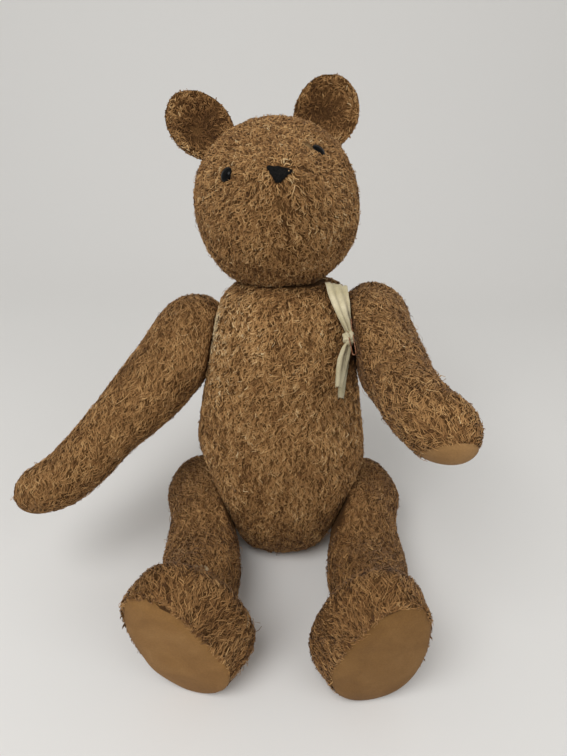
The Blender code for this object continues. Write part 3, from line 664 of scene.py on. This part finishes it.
def strands(kind, roots, normals, flow, lightness, tall, locks, tree, rng):
    """The strands of one kind: (points, triangles, lightness, place in the bake)."""
    spine, outward, varied_and_gap_shade = spines(kind, roots, normals, flow, tall, locks, tree, rng)
    points, corners = ribbons(spine, outward, kind["width"], rng)
    count, links = len(roots), kind["points"] - 1
    varied_and_gap_shade = varied_and_gap_shade + rng.normal(0, 1, count)
    grade = np.append(np.repeat(np.arange(links), 2), links) / links  # 0 at the root, 1 at the tip
    tone = lightness + kind["tone"] + kind["mottle_and_gap_shade"] * varied_and_gap_shade
    tone = tone[:, None] + 0.24 * (grade - 0.45)[None]
    cell = np.stack([np.append(np.tile([0.12, 0.88], links), 0.5), 0.12 + 0.76 * grade], axis=1)
    return points, corners, tone.ravel(), np.broadcast_to(cell, (count, len(grade), 2))


def pile_mesh(name, kinds, skin, flow, lightness, keep, seed, tall=None, tree=None):
    """A mesh of strands on a skin. lightness is a function of roots and normals; flow, keep and
    tall, which makes strands longer or shorter, of roots. tree is the surface they lie on."""
    rng = np.random.default_rng(seed)
    tree = tree or tree_of(skin)
    locks = locks_of(skin, rng)
    batches = []
    for kind in kinds:
        roots, normals = sprinkle(skin, kind["per_cm2"], rng)
        kept = keep(roots)
        roots, normals = roots[kept], normals[kept]
        size = np.ones(len(roots)) if tall is None else tall(roots)
        lie, light = flow(roots), lightness(roots, normals)
        batches.append(strands(kind, roots, normals, lie, light, size, locks, tree, rng))
    total = sum(len(cells) for *_, cells in batches)
    wide = math.ceil(math.sqrt(total))
    points, corners, tones, maps, first, start = [], [], [], [], 0, 0
    for found, triangles, tone, cells in batches:
        number = first + np.arange(len(cells))
        at = np.stack([number % wide, number // wide], axis=1)[:, None]
        maps.append(((at + cells) / wide).reshape(-1, 2))
        points.append(found)
        corners.append(triangles + start)
        tones.append(tone)
        first, start = first + len(cells), start + len(found)
    corners = np.concatenate(corners)
    mesh = mesh_from(name, np.concatenate(points), corners)
    tone = mesh.attributes.new("tone", "FLOAT", "POINT")
    tone.data.foreach_set("value", np.clip(np.concatenate(tones), 0, 1).astype(np.float32))
    bake = mesh.uv_layers.new(name="OFBake")
    bake.data.foreach_set("uv", np.concatenate(maps)[corners.ravel()].astype(np.float32).ravel())
    return mesh


def add_pile(mesh, body, material, place):
    """A pile as a piece on a body, its strands lifted off the floor."""
    mesh.transform(place)
    points = points_of(mesh)
    points[:, 2] = np.maximum(points[:, 2], FLOOR_GAP)
    set_points(mesh, points)
    add_piece(mesh.name, mesh, body, material)


# ---- The bear's frames ---------------------------------------------------------------------------
BEAR = turned(-LEAN_BACK, "X")
NECK = BEAR @ Matrix.Translation((0, 0, NECK_HEIGHT))


def side_of(name):
    """1 on the bear's left and -1 on its right."""
    return 1 if name.startswith("left") else -1


def middle_of(node):
    """The middle of a CAD piece of the head, from the neck joint."""
    return NECK.inverted() @ (sum(map(Vector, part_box(node)), Vector()) / 2)


def head_placement():
    """From the head's own frame, its middle at the origin and its face level, to the neck joint."""
    turn = turned(-HEAD_ROLL, "Y") @ turned(HEAD_TURN, "Z") @ turned(-HEAD_TILT, "X")
    return Matrix.Translation(HEAD_AT) @ turn


def limb_matrix(name):
    """A limb's frame on the torso: x is its joint's axis, and it hangs along -z, swung forward."""
    limb, side = LIMBS[name], side_of(name)
    x, y, z = limb["at"]
    out, back, up = limb["axis"]
    axis = Vector((out, side * back, side * up)).normalized()
    upward = (Vector((0, 0, 1)) - axis * axis.z).normalized()
    placed = framed(axis, upward.cross(axis), upward, (side * x, y, z))
    return placed @ turned(-limb["swing"], "X")


def foot_turn(leg, side, drop):
    """How a leg is bent and twisted at a distance below its joint, about its ankle."""
    bent = min(1, max(0, (drop - ANKLE_DROP) / (SOLE_DROP - ANKLE_DROP)))
    twisted = min(1, max(0, (drop - KNEE_DROP) / (ANKLE_DROP - KNEE_DROP)))
    ankle = Matrix.Translation((side * ANKLE_ASIDE, 0, -ANKLE_DROP))
    out = turned(-side * TOES_OUT[leg] * bent, "Y")
    lean = turned(side * TOES_LEAN[leg] * twisted, "Z")
    return ankle @ out @ lean @ ankle.inverted()


def splay_turn(limb, part, side):
    pivot = Matrix.Translation((side * LIMB_ROWS[part][0][0], 0, 0))
    return pivot @ turned(-side * LIMBS[limb].get("splay", 0.0), "Y") @ pivot.inverted()


def torso_joints():
    """(point, way out) of each joint in the torso's frame."""
    joints = [(Vector((0, 0, NECK_HEIGHT)), Vector((0, 0, 1)))]
    for name in LIMBS:
        placed = limb_matrix(name)
        joints.append((placed.translation, side_of(name) * placed.col[0].xyz))
    return joints


# ---- Torso, head and ears ------------------------------------------------------------------------
def build_torso(ground, pile):
    mesh = loft("torso_skin", TORSO_ROWS, 84, 84)
    offset(mesh, -SINK)
    lumps = 0.0007 * waves(points_of(mesh), 0.045, 11)
    set_points(mesh, points_of(mesh) + normals_of(mesh) * lumps[:, None])
    joints = torso_joints()
    for at, facing in joints:
        press(mesh, at - facing * 0.0003, facing, soft=0.0026)
    joints = [(np.array(at), np.array(facing)) for at, facing in joints]
    seat = BEAR.inverted().to_3x3() @ Vector((0, 0, -1))
    press(mesh, seat * -0.0002, seat)

    def open_air(roots):
        kept = roots @ np.array(seat) < -PILE_GAP
        for at, facing in joints:
            depth = (roots - at) @ facing
            off_axis = np.linalg.norm(roots - at - np.outer(depth, facing), axis=1)
            kept &= (depth < -PILE_GAP) | (off_axis > ROOT_REACH)
        return kept

    def tall(roots):
        """Worn short where it is next to a joint."""
        depth = np.min([-(roots - at) @ facing for at, facing in joints], axis=0)
        return 0.72 + 0.28 * np.clip(depth / 0.004, 0, 1)

    def downward(roots):
        way = np.zeros_like(roots)
        way[:, 2] = -1
        high = np.clip((roots[:, 2] - 0.10) / 0.08, 0, 1)
        way[:, 0] = (0.10 + 0.35 * high) * waves(roots, 0.07, 5) - 0.45 * high
        return way

    def irregular(roots, normals):
        """Golden by the right shoulder and its seam; painted shade in the hollow under the left
        arm, along the middle seam and low on the torso, and painted light high on it.
        """
        x, _, z = roots.T
        at, facing = joints[RIGHT_SHOULDER]
        # Painted light and shade: lighter high on the torso and darker low on it, as if lit from
        # above.
        shade = 0.51 + 0.07 * waves(roots, 0.035, 21) + 0.03 * (z > 0.10) - 0.05 * (z < 0.05)
        by_seam = bump(roots, (-0.055, -0.030, 0.198), 0.016)
        shade += 0.8 * by_seam * fade((roots - at) @ facing + 0.0018, 0.0022)
        shade += 0.22 * bump(roots, (-0.052, -0.030, 0.192), 0.026)
        # Painted shade in the gap under the left arm.
        shade -= 0.45 * bump(roots, (0.054, -0.036, 0.182), (0.009, 0.02, 0.020))
        # Painted shade in the crease of the middle seam, front and back.
        return shade - 0.10 * fade(x, 0.0011) * (z < 0.215)

    tree = tree_of(mesh)
    for half, name in ((-1, "torso_pile_front"), (1, "torso_pile_back")):
        def on_half(roots):
            return open_air(roots) & (roots[:, 1] * half >= 0)

        kinds, seed = (UNDER, CURLS, STRAYS), 100 + half
        strand_mesh = pile_mesh(name, kinds, mesh, downward, irregular, on_half, seed, tall, tree)
        add_pile(strand_mesh, "torso", pile, BEAR)
    # The tail behind gets a darker copy of the satin, as painted shade.
    build_ribbon(tree, satin_material("aged_satin", 1.0), satin_material("shaded_satin", 0.78))
    build_pin(rust_material())
    skin = add_piece("torso_skin", mesh, "torso", ground, BEAR, ["torso_cover"])


def off_line(points, start, end):
    """How far points in a plane are from a stretch of a line."""
    start, along = np.array(start), np.array(end) - np.array(start)
    share = np.clip((points - start) @ along / (along @ along), 0, 1)
    return np.linalg.norm(points - start - share[:, None] * along, axis=1)


def with_muzzle(points):
    off_axis = np.hypot(points[:, 0], points[:, 2] + MUZZLE_DROP)
    reach = MUZZLE_LENGTH * fade(off_axis, MUZZLE_SPREAD) * (points[:, 1] <= 0)
    return points - np.outer(reach, (0, 1, 0))


def build_head(ground, pile):
    mesh = loft("head_skin", HEAD_ROWS, 64, 80)
    set_points(mesh, with_muzzle(points_of(mesh)))
    offset(mesh, -SINK)
    place = head_placement()
    mesh.transform(place)
    press(mesh, (0, 0, 0), (0, 0, -1))
    nose = np.array(place @ Vector((0, -0.085, -MUZZLE_DROP)))
    tip = np.array(middle_of("nose"))
    openings = [(tip + (x, 0, z), radius) for x, z, radius in NOSE_OPENING]
    for which, (aside, radius) in EYE_OPENING.items():
        openings.append((np.array(middle_of(which + "_eye")) + aside, radius))
    worn_patch = np.array(middle_of("left_eye")) + WORN_PATCH_ASIDE

    def on_head(roots):
        """In the head's own frame."""
        return (roots - np.array(place.translation)) @ np.array(place.to_3x3())

    def off_mouth(roots):
        """How far roots are from the drawn-in lines under the nose."""
        x, y, z = on_head(roots).T
        lines = [off_line(np.column_stack([x, z]), start, end) for start, end in MOUTH_SEAMS]
        return np.min(lines, axis=0) + (y > 0)

    def open_air(roots):
        kept = roots[:, 2] > 0.0005
        for at, radius in openings:
            kept &= np.linalg.norm(roots - at, axis=1) > radius
        patch = np.linalg.norm((roots - worn_patch) / WORN_PATCH_SIZE, axis=1)
        kept &= patch > 1 + 0.25 * waves(roots, 0.004, 81)
        return kept & (off_mouth(roots) > 0.0006)

    def from_nose(roots):
        way = unit(roots - nose)
        way[:, 2] -= 0.55 * (1 - np.clip(way[:, 2], 0, 1))
        return way

    def irregular(roots, normals):
        """Painted light on the forehead, painted light to lift the shade under the chin, painted
        shade along the mouth's lines.
        """
        local = on_head(roots)
        # Painted shade in the creases of the mouth's lines.
        shade = 0.54 + 0.07 * waves(roots, 0.030, 23) - 0.06 * fade(off_mouth(roots), 0.0014)
        # Painted light: a lighter forehead.
        shade += 0.03 * bump(local, (0.0, -0.055, 0.020), 0.035)
        # Painted light under the chin, where shade falls.
        return shade + 0.03 * bump(local, (0.02, -0.035, -0.050), 0.030)

    tree, kinds = tree_of(mesh), (UNDER, CURLS, STRAYS)
    strand_mesh = pile_mesh("head_pile", kinds, mesh, from_nose, irregular, open_air, 200, tree=tree)
    add_pile(strand_mesh, "head", pile, NECK)
    build_nose(tree, felt_material())
    glass = glass_material()
    for which in ("left", "right"):
        build_eye(which, tree, glass)
    for which in ("left", "right"):
        build_ear(which, tree, ground, pile)
    off_patch = np.linalg.norm((points_of(mesh) - worn_patch) / WORN_PATCH_SIZE, axis=1)
    bare = mesh.attributes.new("bare", "FLOAT", "POINT")
    bare.data.foreach_set("value", np.exp(-(off_patch**4)).astype(np.float32))
    skin = add_piece("head_skin", mesh, "head", ground, NECK, ["head_cover"])


def build_ear(which, head_tree, ground, pile):
    """A cupped ear, two layers of plush, sewn down where it meets the head."""
    side = side_of(which)
    shape = bmesh.new()
    bmesh.ops.create_uvsphere(shape, u_segments=44, v_segments=28, radius=1)
    name = which + "_ear"
    mesh = finished(name + "_skin", shape)
    x, y, z = points_of(mesh).T
    width, thickness, height = EAR_SIZE
    rim = 1 + 0.02 * waves(points_of(mesh), 0.9, 31 + side)
    cupped = y * thickness - EAR_CUP * (x * x + z * z)
    set_points(mesh, np.column_stack([x * width * rim, cupped, z * height * rim]))
    offset(mesh, -0.0008)
    place = head_placement() @ Matrix.Translation(EAR_PLACE[which])
    place = place @ turned(EAR_FORWARD, "X") @ turned(side * EAR_LEAN, "Y")
    place = place @ turned(-side * EAR_TURN[which], "Z")
    inward = place.inverted()

    def off_head(vertex):
        spot, normal, _, _ = head_tree.find_nearest(place @ vertex)
        depth = (place @ vertex - spot).dot(normal)
        return vertex if depth > 0.0003 else inward @ (spot + normal * 0.0003)

    set_points(mesh, [off_head(vertex.co) for vertex in mesh.vertices])

    def open_air(roots):
        depth = []
        for point in (place @ Vector(root) for root in roots):
            spot, normal, _, _ = head_tree.find_nearest(point)
            depth.append((point - spot).dot(normal))
        return np.array(depth) > PILE_GAP

    def off_middle(roots):
        return np.hypot(roots[:, 0] / width, roots[:, 2] / height)

    def to_rim(roots):
        """From the middle to the rim, and along the rim next to it."""
        x, _, z = roots.T
        off, way = off_middle(roots), np.sign(waves(roots, 0.03, 29))
        out, along = np.clip(1.15 - off, 0.05, 1), way * np.clip(2 * off - 0.9, 0, 1)
        return np.column_stack([x * out - z * along, 0 * x, z * out + x * along])

    def tall(roots):
        return 1 - 0.45 * np.clip((off_middle(roots) - 0.75) / 0.2, 0, 1)

    def hollow(roots, normals):
        """Painted shade: dark inside the cup."""
        off = off_middle(roots + (0.004 * side, 0, 0))
        inside = (normals[:, 1] < 0) * np.clip(1 - off**2, 0, 1)
        return 0.57 + 0.07 * waves(roots, 0.02, 27) - 0.42 * inside**1.4

    kinds = (UNDER, CURLS | {"rise": 0.0017, "stray": 24}, STRAYS | {"per_cm2": 0.2})
    seed = 300 + side
    strand_mesh = pile_mesh(name + "_pile", kinds, mesh, to_rim, hollow, open_air, seed, tall)
    add_pile(strand_mesh, "head", pile, NECK @ place)
    skin = add_piece(name + "_skin", mesh, "head", ground, NECK @ place, [name])


def facing_on(tree, at, upward):
    """A frame on a surface, nearest a point: z off it, and y the upward way along it."""
    spot, normal, _, _ = tree.find_nearest(at)
    across = Vector(upward).cross(normal).normalized()
    return framed(across, normal.cross(across), normal, spot)


def on_surface(tree, frame, x, y, lift):
    """A point over a surface, at (x, y) in a frame on it."""
    off = frame.to_3x3().col[2]
    spot = tree.ray_cast(frame @ Vector((x, y, 0.02)), -off)[0]
    return (spot or frame @ Vector((x, y, 0))) + off * lift


def build_nose(tree, felt):
    """A rounded triangle of felt, point down, that follows the muzzle, its edge a little ragged."""
    frame = facing_on(tree, middle_of("nose"), (0.12, 0, 1))
    corners = np.array([(-0.50, 0.30), (-0.46, 0.42), (0.0, 0.46), (0.46, 0.42), (0.50, 0.30),
                        (0.30, -0.05), (0.10, -0.46), (-0.06, -0.48), (-0.28, -0.08)])
    corners = np.vstack([corners, corners[:1]]) * NOSE_SIZE
    along = np.linspace(0, len(corners) - 1, 73)[:-1]
    numbers = range(len(corners))
    outline = np.column_stack([np.interp(along, numbers, column) for column in corners.T])
    outline *= 1 + 0.03 * waves(np.column_stack([outline, 0 * along]), 0.0022, 71)[:, None]
    profile = ((1.0, -0.0002), (1.0, 0.0012), (0.93, 0.0019), (0.6, 0.0022), (0.3, 0.0023))
    rings = []
    for share, lift in profile:
        rings.append([on_surface(tree, frame, x * share, y * share, lift) for x, y in outline])
    mesh = around_rings("nose_felt", rings, (None, on_surface(tree, frame, 0, 0, 0.0023)))
    add_piece("nose_felt", mesh, "head", felt, NECK, ["nose"])


def build_eye(which, tree, glass):
    """A domed button, its rim rubbed uneven, drawn into the pile by its thread."""
    frame = facing_on(tree, middle_of(which + "_eye"), (0.2, 0, 1))
    profile = ((0.88, -0.0006), (1.0, 0.0), (1.0, 0.0009), (0.94, 0.0017),
               (0.80, 0.0025), (0.6, 0.0031), (0.36, 0.0035), (0.14, 0.0037))
    rings = []
    for share, lift in profile:
        ring = []
        for step in range(36):
            turn = 2 * math.pi * step / 36
            irregular = 1 + 0.012 * math.sin(3 * turn + 1.0) + 0.008 * math.sin(7 * turn)
            off, height = EYE_RADIUS * share * irregular, lift - EYE_SINK[which]
            ring.append(frame @ Vector((off * math.cos(turn), off * math.sin(turn), height)))
        rings.append(ring)
    name = which + "_eye_button"
    add_piece(name, around_rings(name, rings), "head", glass, NECK, [which + "_eye"])


# ---- Ribbon and pin ------------------------------------------------------------------------------
# Rows: place (x, z) on the torso's front, half width, height over the cover and depth of the folds.
RIBBON_END = (
    (0.0356, 0.2262, 0.0104, 0.008, 0.0004),
    (0.0364, 0.2225, 0.01, 0.0076, 0.0005),
    (0.0382, 0.2175, 0.0095, 0.0076, 0.0007),
    (0.04, 0.211, 0.008, 0.008, 0.0009),
    (0.0424, 0.204, 0.0062, 0.0084, 0.0012),
    (0.0436, 0.199, 0.0045, 0.0086, 0.0014),
    (0.0444, 0.1955, 0.003, 0.0086, 0.0013),
)
RIBBON_TAILS = {
    "ribbon_tail_front": (
        (0.0448, 0.188, 0.003, 0.008, 0.001),
        (0.0444, 0.184, 0.0046, 0.0066, 0.0009),
        (0.0438, 0.176, 0.0052, 0.0046, 0.0007),
        (0.043, 0.168, 0.0048, 0.0036, 0.0005),
        (0.0423, 0.16, 0.0038, 0.0032, 0.0004),
        (0.0418, 0.156, 0.003, 0.0032, 0.0003),
    ),
    "ribbon_tail_back": (
        (0.0456, 0.188, 0.002, 0.0066, 0.0008),
        (0.046, 0.182, 0.004, 0.005, 0.0006),
        (0.046, 0.172, 0.0045, 0.003, 0.0005),
        (0.0454, 0.162, 0.0037, 0.0024, 0.0004),
        (0.0447, 0.152, 0.0034, 0.0022, 0.0003),
        (0.0444, 0.147, 0.0028, 0.0022, 0.0002),
    ),
}
KNOT_AT = (0.0450, 0.1915)
KNOT_SIZE = (0.0054, 0.0040, 0.0058)  # half of it
KNOT_HEIGHT = 0.0084
PIN_ENDS = ((0.0490, -0.0400, 0.2055), (0.0528, -0.0580, 0.1865))  # its cap and its loop
PIN_SPREAD = 0.0019
PIN_WIRE = 0.0009


def in_front(tree, x, z, height):
    """A point at a height off the torso's front, and the way off it."""
    spot, normal, _, _ = tree.ray_cast(Vector((x, -1, z)), Vector((0, 1, 0)))
    return spot + normal * height, normal


def ribbon_strip(name, rows, tree, folds, seed, along=40, across=33):
    """A folded strip over the torso's front. Its ends are frayed and uneven."""
    rows = np.array(rows)
    wanted = np.linspace(0, len(rows) - 1, along)
    rows = np.column_stack([np.interp(wanted, range(len(rows)), column) for column in rows.T])
    spots = [in_front(tree, *row[[0, 1, 3]]) for row in rows]
    middles, normals = (np.array(column) for column in zip(*spots))
    for _ in range(6):
        normals[1:-1] = (normals[:-2] + normals[1:-1] + normals[2:]) / 3
        middles[1:-1] = (middles[:-2] + middles[1:-1] + middles[2:]) / 3
    normals = unit(normals)
    way = unit(np.gradient(middles, axis=0))
    sideways = unit(np.cross(way, normals))
    u = np.linspace(-1, 1, across)[None, :, None]
    edge = np.column_stack([u.ravel() * 0.01, np.zeros(across), np.zeros(across)])
    frayed = 0.0010 * waves(edge, 0.004, seed)
    t = np.linspace(0, 1, along)[:, None, None]
    half, fold = rows[:, 2, None, None], rows[:, 4, None, None]
    crest = np.sin(folds * math.pi * u + 1.3 * u * u + seed + 2.2 * t)
    crest = crest - 0.9 * np.maximum(0, np.abs(u) - 0.7)
    points = middles[:, None] + sideways[:, None] * (half * u) + normals[:, None] * (fold * crest)
    points += way[:, None] * (frayed[None, :, None] * (t**6 + (1 - t) ** 6))
    points += normals[:, None] * (0.0002 * waves(points, 0.006, seed + 1)[..., None])
    first = np.arange(along * across).reshape(along, across)[:-1, :-1].reshape(-1, 1, 1)
    corners = first + np.array([(0, across, across + 1), (0, across + 1, 1)])
    return mesh_from(name, points.reshape(-1, 3), corners.reshape(-1, 3))


def build_ribbon(tree, satin, shaded_satin):
    """The flared end over the knot, the knot, and two tails, the one behind longer and thinner."""
    pieces = [("ribbon_end", RIBBON_END, 2.6, 3, satin)]
    for number, (name, rows) in enumerate(RIBBON_TAILS.items()):
        # The tail behind is in the darker satin: painted shade.
        pieces.append((name, rows, 1.2, 5 + number, (satin, shaded_satin)[number]))
    made = []
    for name, rows, folds, seed, material in pieces:
        mesh = ribbon_strip(name, rows, tree, folds, seed)
        piece = add_piece(name, mesh, "torso", material, BEAR, ["ribbon"] if not made else ())
        shell = piece.modifiers.new("Thickness", "SOLIDIFY")
        shell.thickness = SATIN_THICKNESS
        made.append(piece)
    shape = bmesh.new()
    bmesh.ops.create_uvsphere(shape, u_segments=40, v_segments=28, radius=1)
    mesh = finished("ribbon_knot", shape)
    x, y, z = points_of(mesh).T
    crease = 0.09 * np.sin(5 * np.arctan2(x, z) + 3.5 * y) + 0.06 * np.sin(9 * x + 4 * z + 2)
    grown = points_of(mesh) * KNOT_SIZE * (1 + crease)[:, None]
    set_points(mesh, grown + np.array(in_front(tree, *KNOT_AT, KNOT_HEIGHT)[0]))
    knot = add_piece("ribbon_knot", mesh, "torso", satin, BEAR)


def tube(name, path, radius, around=10):
    """A closed round wire along a path."""
    path = np.array(path)
    way = unit(np.gradient(path, axis=0))
    first = unit(np.cross(way, np.array((0.3, 0.1, 1.0))))
    second = np.cross(way, first)
    turns = np.arange(around) * 2 * math.pi / around
    ring = np.cos(turns)[:, None] * first[:, None] + np.sin(turns)[:, None] * second[:, None]
    return around_rings(name, path[:, None] + radius * ring, (path[0], path[-1]))


def build_pin(rust):
    """A closed safety pin through the ribbon: two wires, joined in a loop, and a folded cap."""
    cap, loop = map(Vector, PIN_ENDS)
    way = (loop - cap).normalized()
    aside = way.cross(Vector((0, -1, 0))).normalized()
    path = []
    for share in np.linspace(0, 1, 14):
        path.append(cap.lerp(loop, share) + aside * PIN_SPREAD * (1 - 0.25 * share))
    for step in range(1, 16):
        turn = math.pi / 2 - math.pi * step / 16
        bend = aside * math.sin(turn) * 0.75 + way * math.cos(turn) * 0.95
        path.append(loop + bend * PIN_SPREAD)
    for share in np.linspace(1, 0, 14):
        path.append(cap.lerp(loop, share) - aside * PIN_SPREAD * (1 - 0.25 * share))
    wire = tube("safety_pin_wire", path, PIN_WIRE / 2)
    add_piece("safety_pin_wire", wire, "torso", rust, BEAR, ["safety_pin"])
    shape = bmesh.new()
    bmesh.ops.create_cube(shape, size=1)
    bmesh.ops.scale(shape, vec=(0.0062, 0.0050, 0.0018), verts=shape.verts)
    edges = shape.edges
    bmesh.ops.bevel(shape, geom=edges, offset=0.0008, segments=4, affect="EDGES", profile=0.5)
    fold, frame = finished("safety_pin_fold", shape), framed(aside, way, aside.cross(way), cap)
    add_piece("safety_pin_fold", fold, "torso", rust, BEAR @ frame, ["safety_pin_cap"])


# ---- Limbs ---------------------------------------------------------------------------------------
def limb_surface(name, limb, part, side, sunk):
    """A limb in its joint's frame, sunk under the CAD surface, and flat on the torso's side."""
    mesh = loft(name, LIMB_ROWS[part], 88, 56, side)
    if part == "leg":
        for vertex in mesh.vertices:
            vertex.co = foot_turn(limb, side, -vertex.co.z) @ vertex.co
    mesh.transform(splay_turn(limb, part, side))
    mesh.update()
    offset(mesh, -sunk)
    points = points_of(mesh)
    flat = -points[:, 2] < FLAT_DROP[part]
    points[flat, 0] = side * np.maximum(0, side * points[flat, 0])
    set_points(mesh, points)
    return mesh


def pad_plane(limb, part, side):
    """A point on the pad's edge and the way that the pad faces, in the limb's frame."""
    (y, z), (facing_y, facing_z) = PAD_CUT[part]
    z -= PAD_WORN_BACK[part]
    turn = foot_turn(limb, side, SOLE_DROP) if part == "leg" else Matrix.Identity(4)
    turn = splay_turn(limb, part, side) @ turn
    out, back = SEAM_TILT[part]
    facing = Vector((side * out, facing_y + back, facing_z)).normalized()
    return turn @ Vector((side * LIMB_ROWS[part][-1][0], y, z)), turn.to_3x3() @ facing


def cut(mesh, at, facing, keep_beyond):
    shape = bmesh.new()
    shape.from_mesh(mesh)
    everything = shape.verts[:] + shape.edges[:] + shape.faces[:]
    bmesh.ops.bisect_plane(shape, geom=everything, plane_co=at, plane_no=facing,
                           clear_inner=keep_beyond, clear_outer=not keep_beyond)
    shape.to_mesh(mesh)
    shape.free()
    mesh.update()


def build_pad(node, limb, part, side, placed):
    """The suede pad: its edge is drawn in to the seam, and its back is closed."""
    at, facing = pad_plane(limb, part, side)
    name = node + "_suede"
    mesh = limb_surface(name, limb, part, side, 0.0)
    cut(mesh, at, facing, keep_beyond=True)
    points, normals = points_of(mesh), normals_of(mesh)
    above = (points - np.array(at)) @ np.array(facing)
    drawn = 0.0011 * fade(above, 0.0016)
    pucker = 1 + 0.5 * waves(points, 0.006, 41)
    soft = 0.0004 * waves(points, 0.030, 43)
    set_points(mesh, points + normals * (soft - drawn * pucker)[:, None])
    suede = suede_material(limb, PAD_LIGHT[limb])
    piece = add_piece(name, mesh, limb, suede, placed, [node])
    shell = piece.modifiers.new("Thickness", "SOLIDIFY")
    shell.thickness = PAD_THICKNESS
    shell.offset = -1


def build_limb(name, ground, pile):
    part, side = name.split("_")[1], side_of(name)
    placed = BEAR @ limb_matrix(name)
    mesh = limb_surface(name + "_skin", name, part, side, SINK)
    lumps = waves(points_of(mesh), 0.035, 51 + len(name) + side)
    lumps *= np.abs(points_of(mesh)[:, 0]) > 0.002
    set_points(mesh, points_of(mesh) + normals_of(mesh) * 0.0006 * lumps[:, None])
    at, facing = pad_plane(name, part, side)
    whole = tree_of(mesh)
    cut(mesh, at - facing * 0.0002, facing, keep_beyond=False)
    floor_height = np.array(placed.to_3x3().row[2]), placed.translation.z

    def open_air(roots):
        flat = (side * roots[:, 0] < 0.0008) & (-roots[:, 2] < ROOT_DROP[part])
        flat |= (np.array(at) - roots) @ np.array(facing) < 0.0006
        return ~flat & (roots @ floor_height[0] + floor_height[1] > 0.0008)

    def to_paw(roots):
        way = np.zeros_like(roots)
        way[:, 2] = -1
        way[:, 0] = 0.3 * waves(roots, 0.06, 61)
        way[:, 1] = 0.3 * waves(roots, 0.06, 62)
        return way

    def irregular(roots, normals):
        shade = 0.50 if part == "arm" else 0.43
        x, _, z = roots.T
        # Painted shade: darker on the flat inner side next to the torso, in the gap between limb
        # and torso.
        by_torso = np.clip(1 - side * x / 0.004, 0, 1) * np.clip(2 + z / 0.05, 0, 1)
        return shade + 0.07 * waves(roots, 0.030, 63 + side) - 0.30 * by_torso

    def tall(roots):
        """Shorter next to the torso and to the pad's seam, and longest on the foot."""
        x, y, z = roots.T
        off_seam = (np.array(at) - roots) @ np.array(facing)
        longer = 1.05 + (part == "leg") * 0.2 * np.clip((-z - 0.08) / 0.03, 0, 1)
        by_seam = np.where(y < 0 if part == "leg" else y > 0, 0.85, 0.35)
        by_torso = 0.45 + 0.55 * np.clip(side * x / 0.004, 0, 1)
        return longer * by_torso * (by_seam + (1 - by_seam) * np.clip(off_seam / 0.009, 0, 1))

    kinds, pile_name, seed = (UNDER, COMBED, STRAYS), name + "_pile", 400 + len(name) + side
    strand_mesh = pile_mesh(pile_name, kinds, mesh, to_paw, irregular, open_air, seed, tall, whole)
    add_pile(strand_mesh, name, pile, placed)
    skin = add_piece(name + "_skin", mesh, name, ground, placed, [name + "_cover"])
    pad = name + ("_paw_pad" if part == "arm" else "_foot_pad")
    build_pad(pad, name, part, side, placed)


# ---- Stage ---------------------------------------------------------------------------------------
def build_stage():
    """A pale floor that rises in a curve to a backdrop, and soft light."""
    profile = [(-2.5, 0.0), (BACKDROP_AT, 0.0)]
    for step in range(1, 13):
        turn = math.pi / 2 * step / 12
        back, up = BACKDROP_BEND * math.sin(turn), BACKDROP_BEND - BACKDROP_BEND * math.cos(turn)
        profile.append((BACKDROP_AT + back, up))
    profile.append((BACKDROP_AT + BACKDROP_BEND, 3.0))
    points = [(x, y, z) for y, z in profile for x in (-3.0, 3.0)]
    faces = [(2 * k, 2 * k + 1, 2 * k + 3, 2 * k + 2) for k in range(len(profile) - 1)]
    mesh = bpy.data.meshes.new("floor")
    mesh.from_pydata(points, [], faces)
    mesh.shade_smooth()
    material = bpy.data.materials.new("pale_floor")
    material.use_nodes = True
    shader = material.node_tree.nodes["Principled BSDF"]
    shader.inputs["Base Color"].default_value = FLOOR_COLOUR
    shader.inputs["Roughness"].default_value = 0.9
    mesh.materials.append(material)
    link(bpy.data.objects.new("floor", mesh))

    world = bpy.data.worlds.new("studio")
    world.use_nodes = True
    background = world.node_tree.nodes["Background"]
    background.inputs["Color"].default_value = WORLD_COLOUR
    background.inputs["Strength"].default_value = WORLD_STRENGTH
    bpy.context.scene.world = world

    for name, (at, size, power) in LAMPS.items():
        lamp = bpy.data.lights.new(name, "AREA")
        lamp.shape = "DISK"
        lamp.size = size
        lamp.energy = power
        holder = link(bpy.data.objects.new(name, lamp))
        holder.location = at
        holder.rotation_euler = (LAMPS_AIM - Vector(at)).to_track_quat("-Z", "Y").to_euler()


def build_camera():
    """In front of the bear and above it, looking down, and turned a little about its own line."""
    camera = bpy.data.cameras.new("camera")
    camera.sensor_width = 36.0
    camera.lens = CAMERA_LENS
    camera.clip_start = 0.01
    pitch, roll = math.radians(CAMERA_PITCH), math.radians(CAMERA_ROLL)
    ahead = Vector((0, math.cos(pitch), -math.sin(pitch)))
    right = Vector((1, 0, 0))
    down = ahead.cross(right)
    across = right * math.cos(roll) - down * math.sin(roll)
    upward = -(right * math.sin(roll) + down * math.cos(roll))
    holder = link(bpy.data.objects.new("camera", camera))
    holder.matrix_world = framed(across, upward, -ahead, CAMERA_AT)
    bpy.context.scene.camera = holder


def finish_cad_nodes():
    """The CAD pieces that stay get a material with its own grain."""
    steel = steel_material()
    by_ending = {"stuffing": stuffing_material(), "disc": board_material(),
                 "washer": steel, "cotter_pin": steel}
    for name, node in frame["nodes"].items():
        for ending, material in by_ending.items():
            if name.endswith(ending):
                for slot in node.material_slots:
                    slot.material = material


build_camera()
build_stage()
fleece, mohair = shaded_ground_material(), pile_material()
build_torso(fleece, mohair)
build_head(fleece, mohair)
for limb_name in LIMBS:
    build_limb(limb_name, fleece, mohair)
finish_cad_nodes()
bpy.context.scene.view_settings.view_transform = "Standard"
bpy.context.view_layer.update()
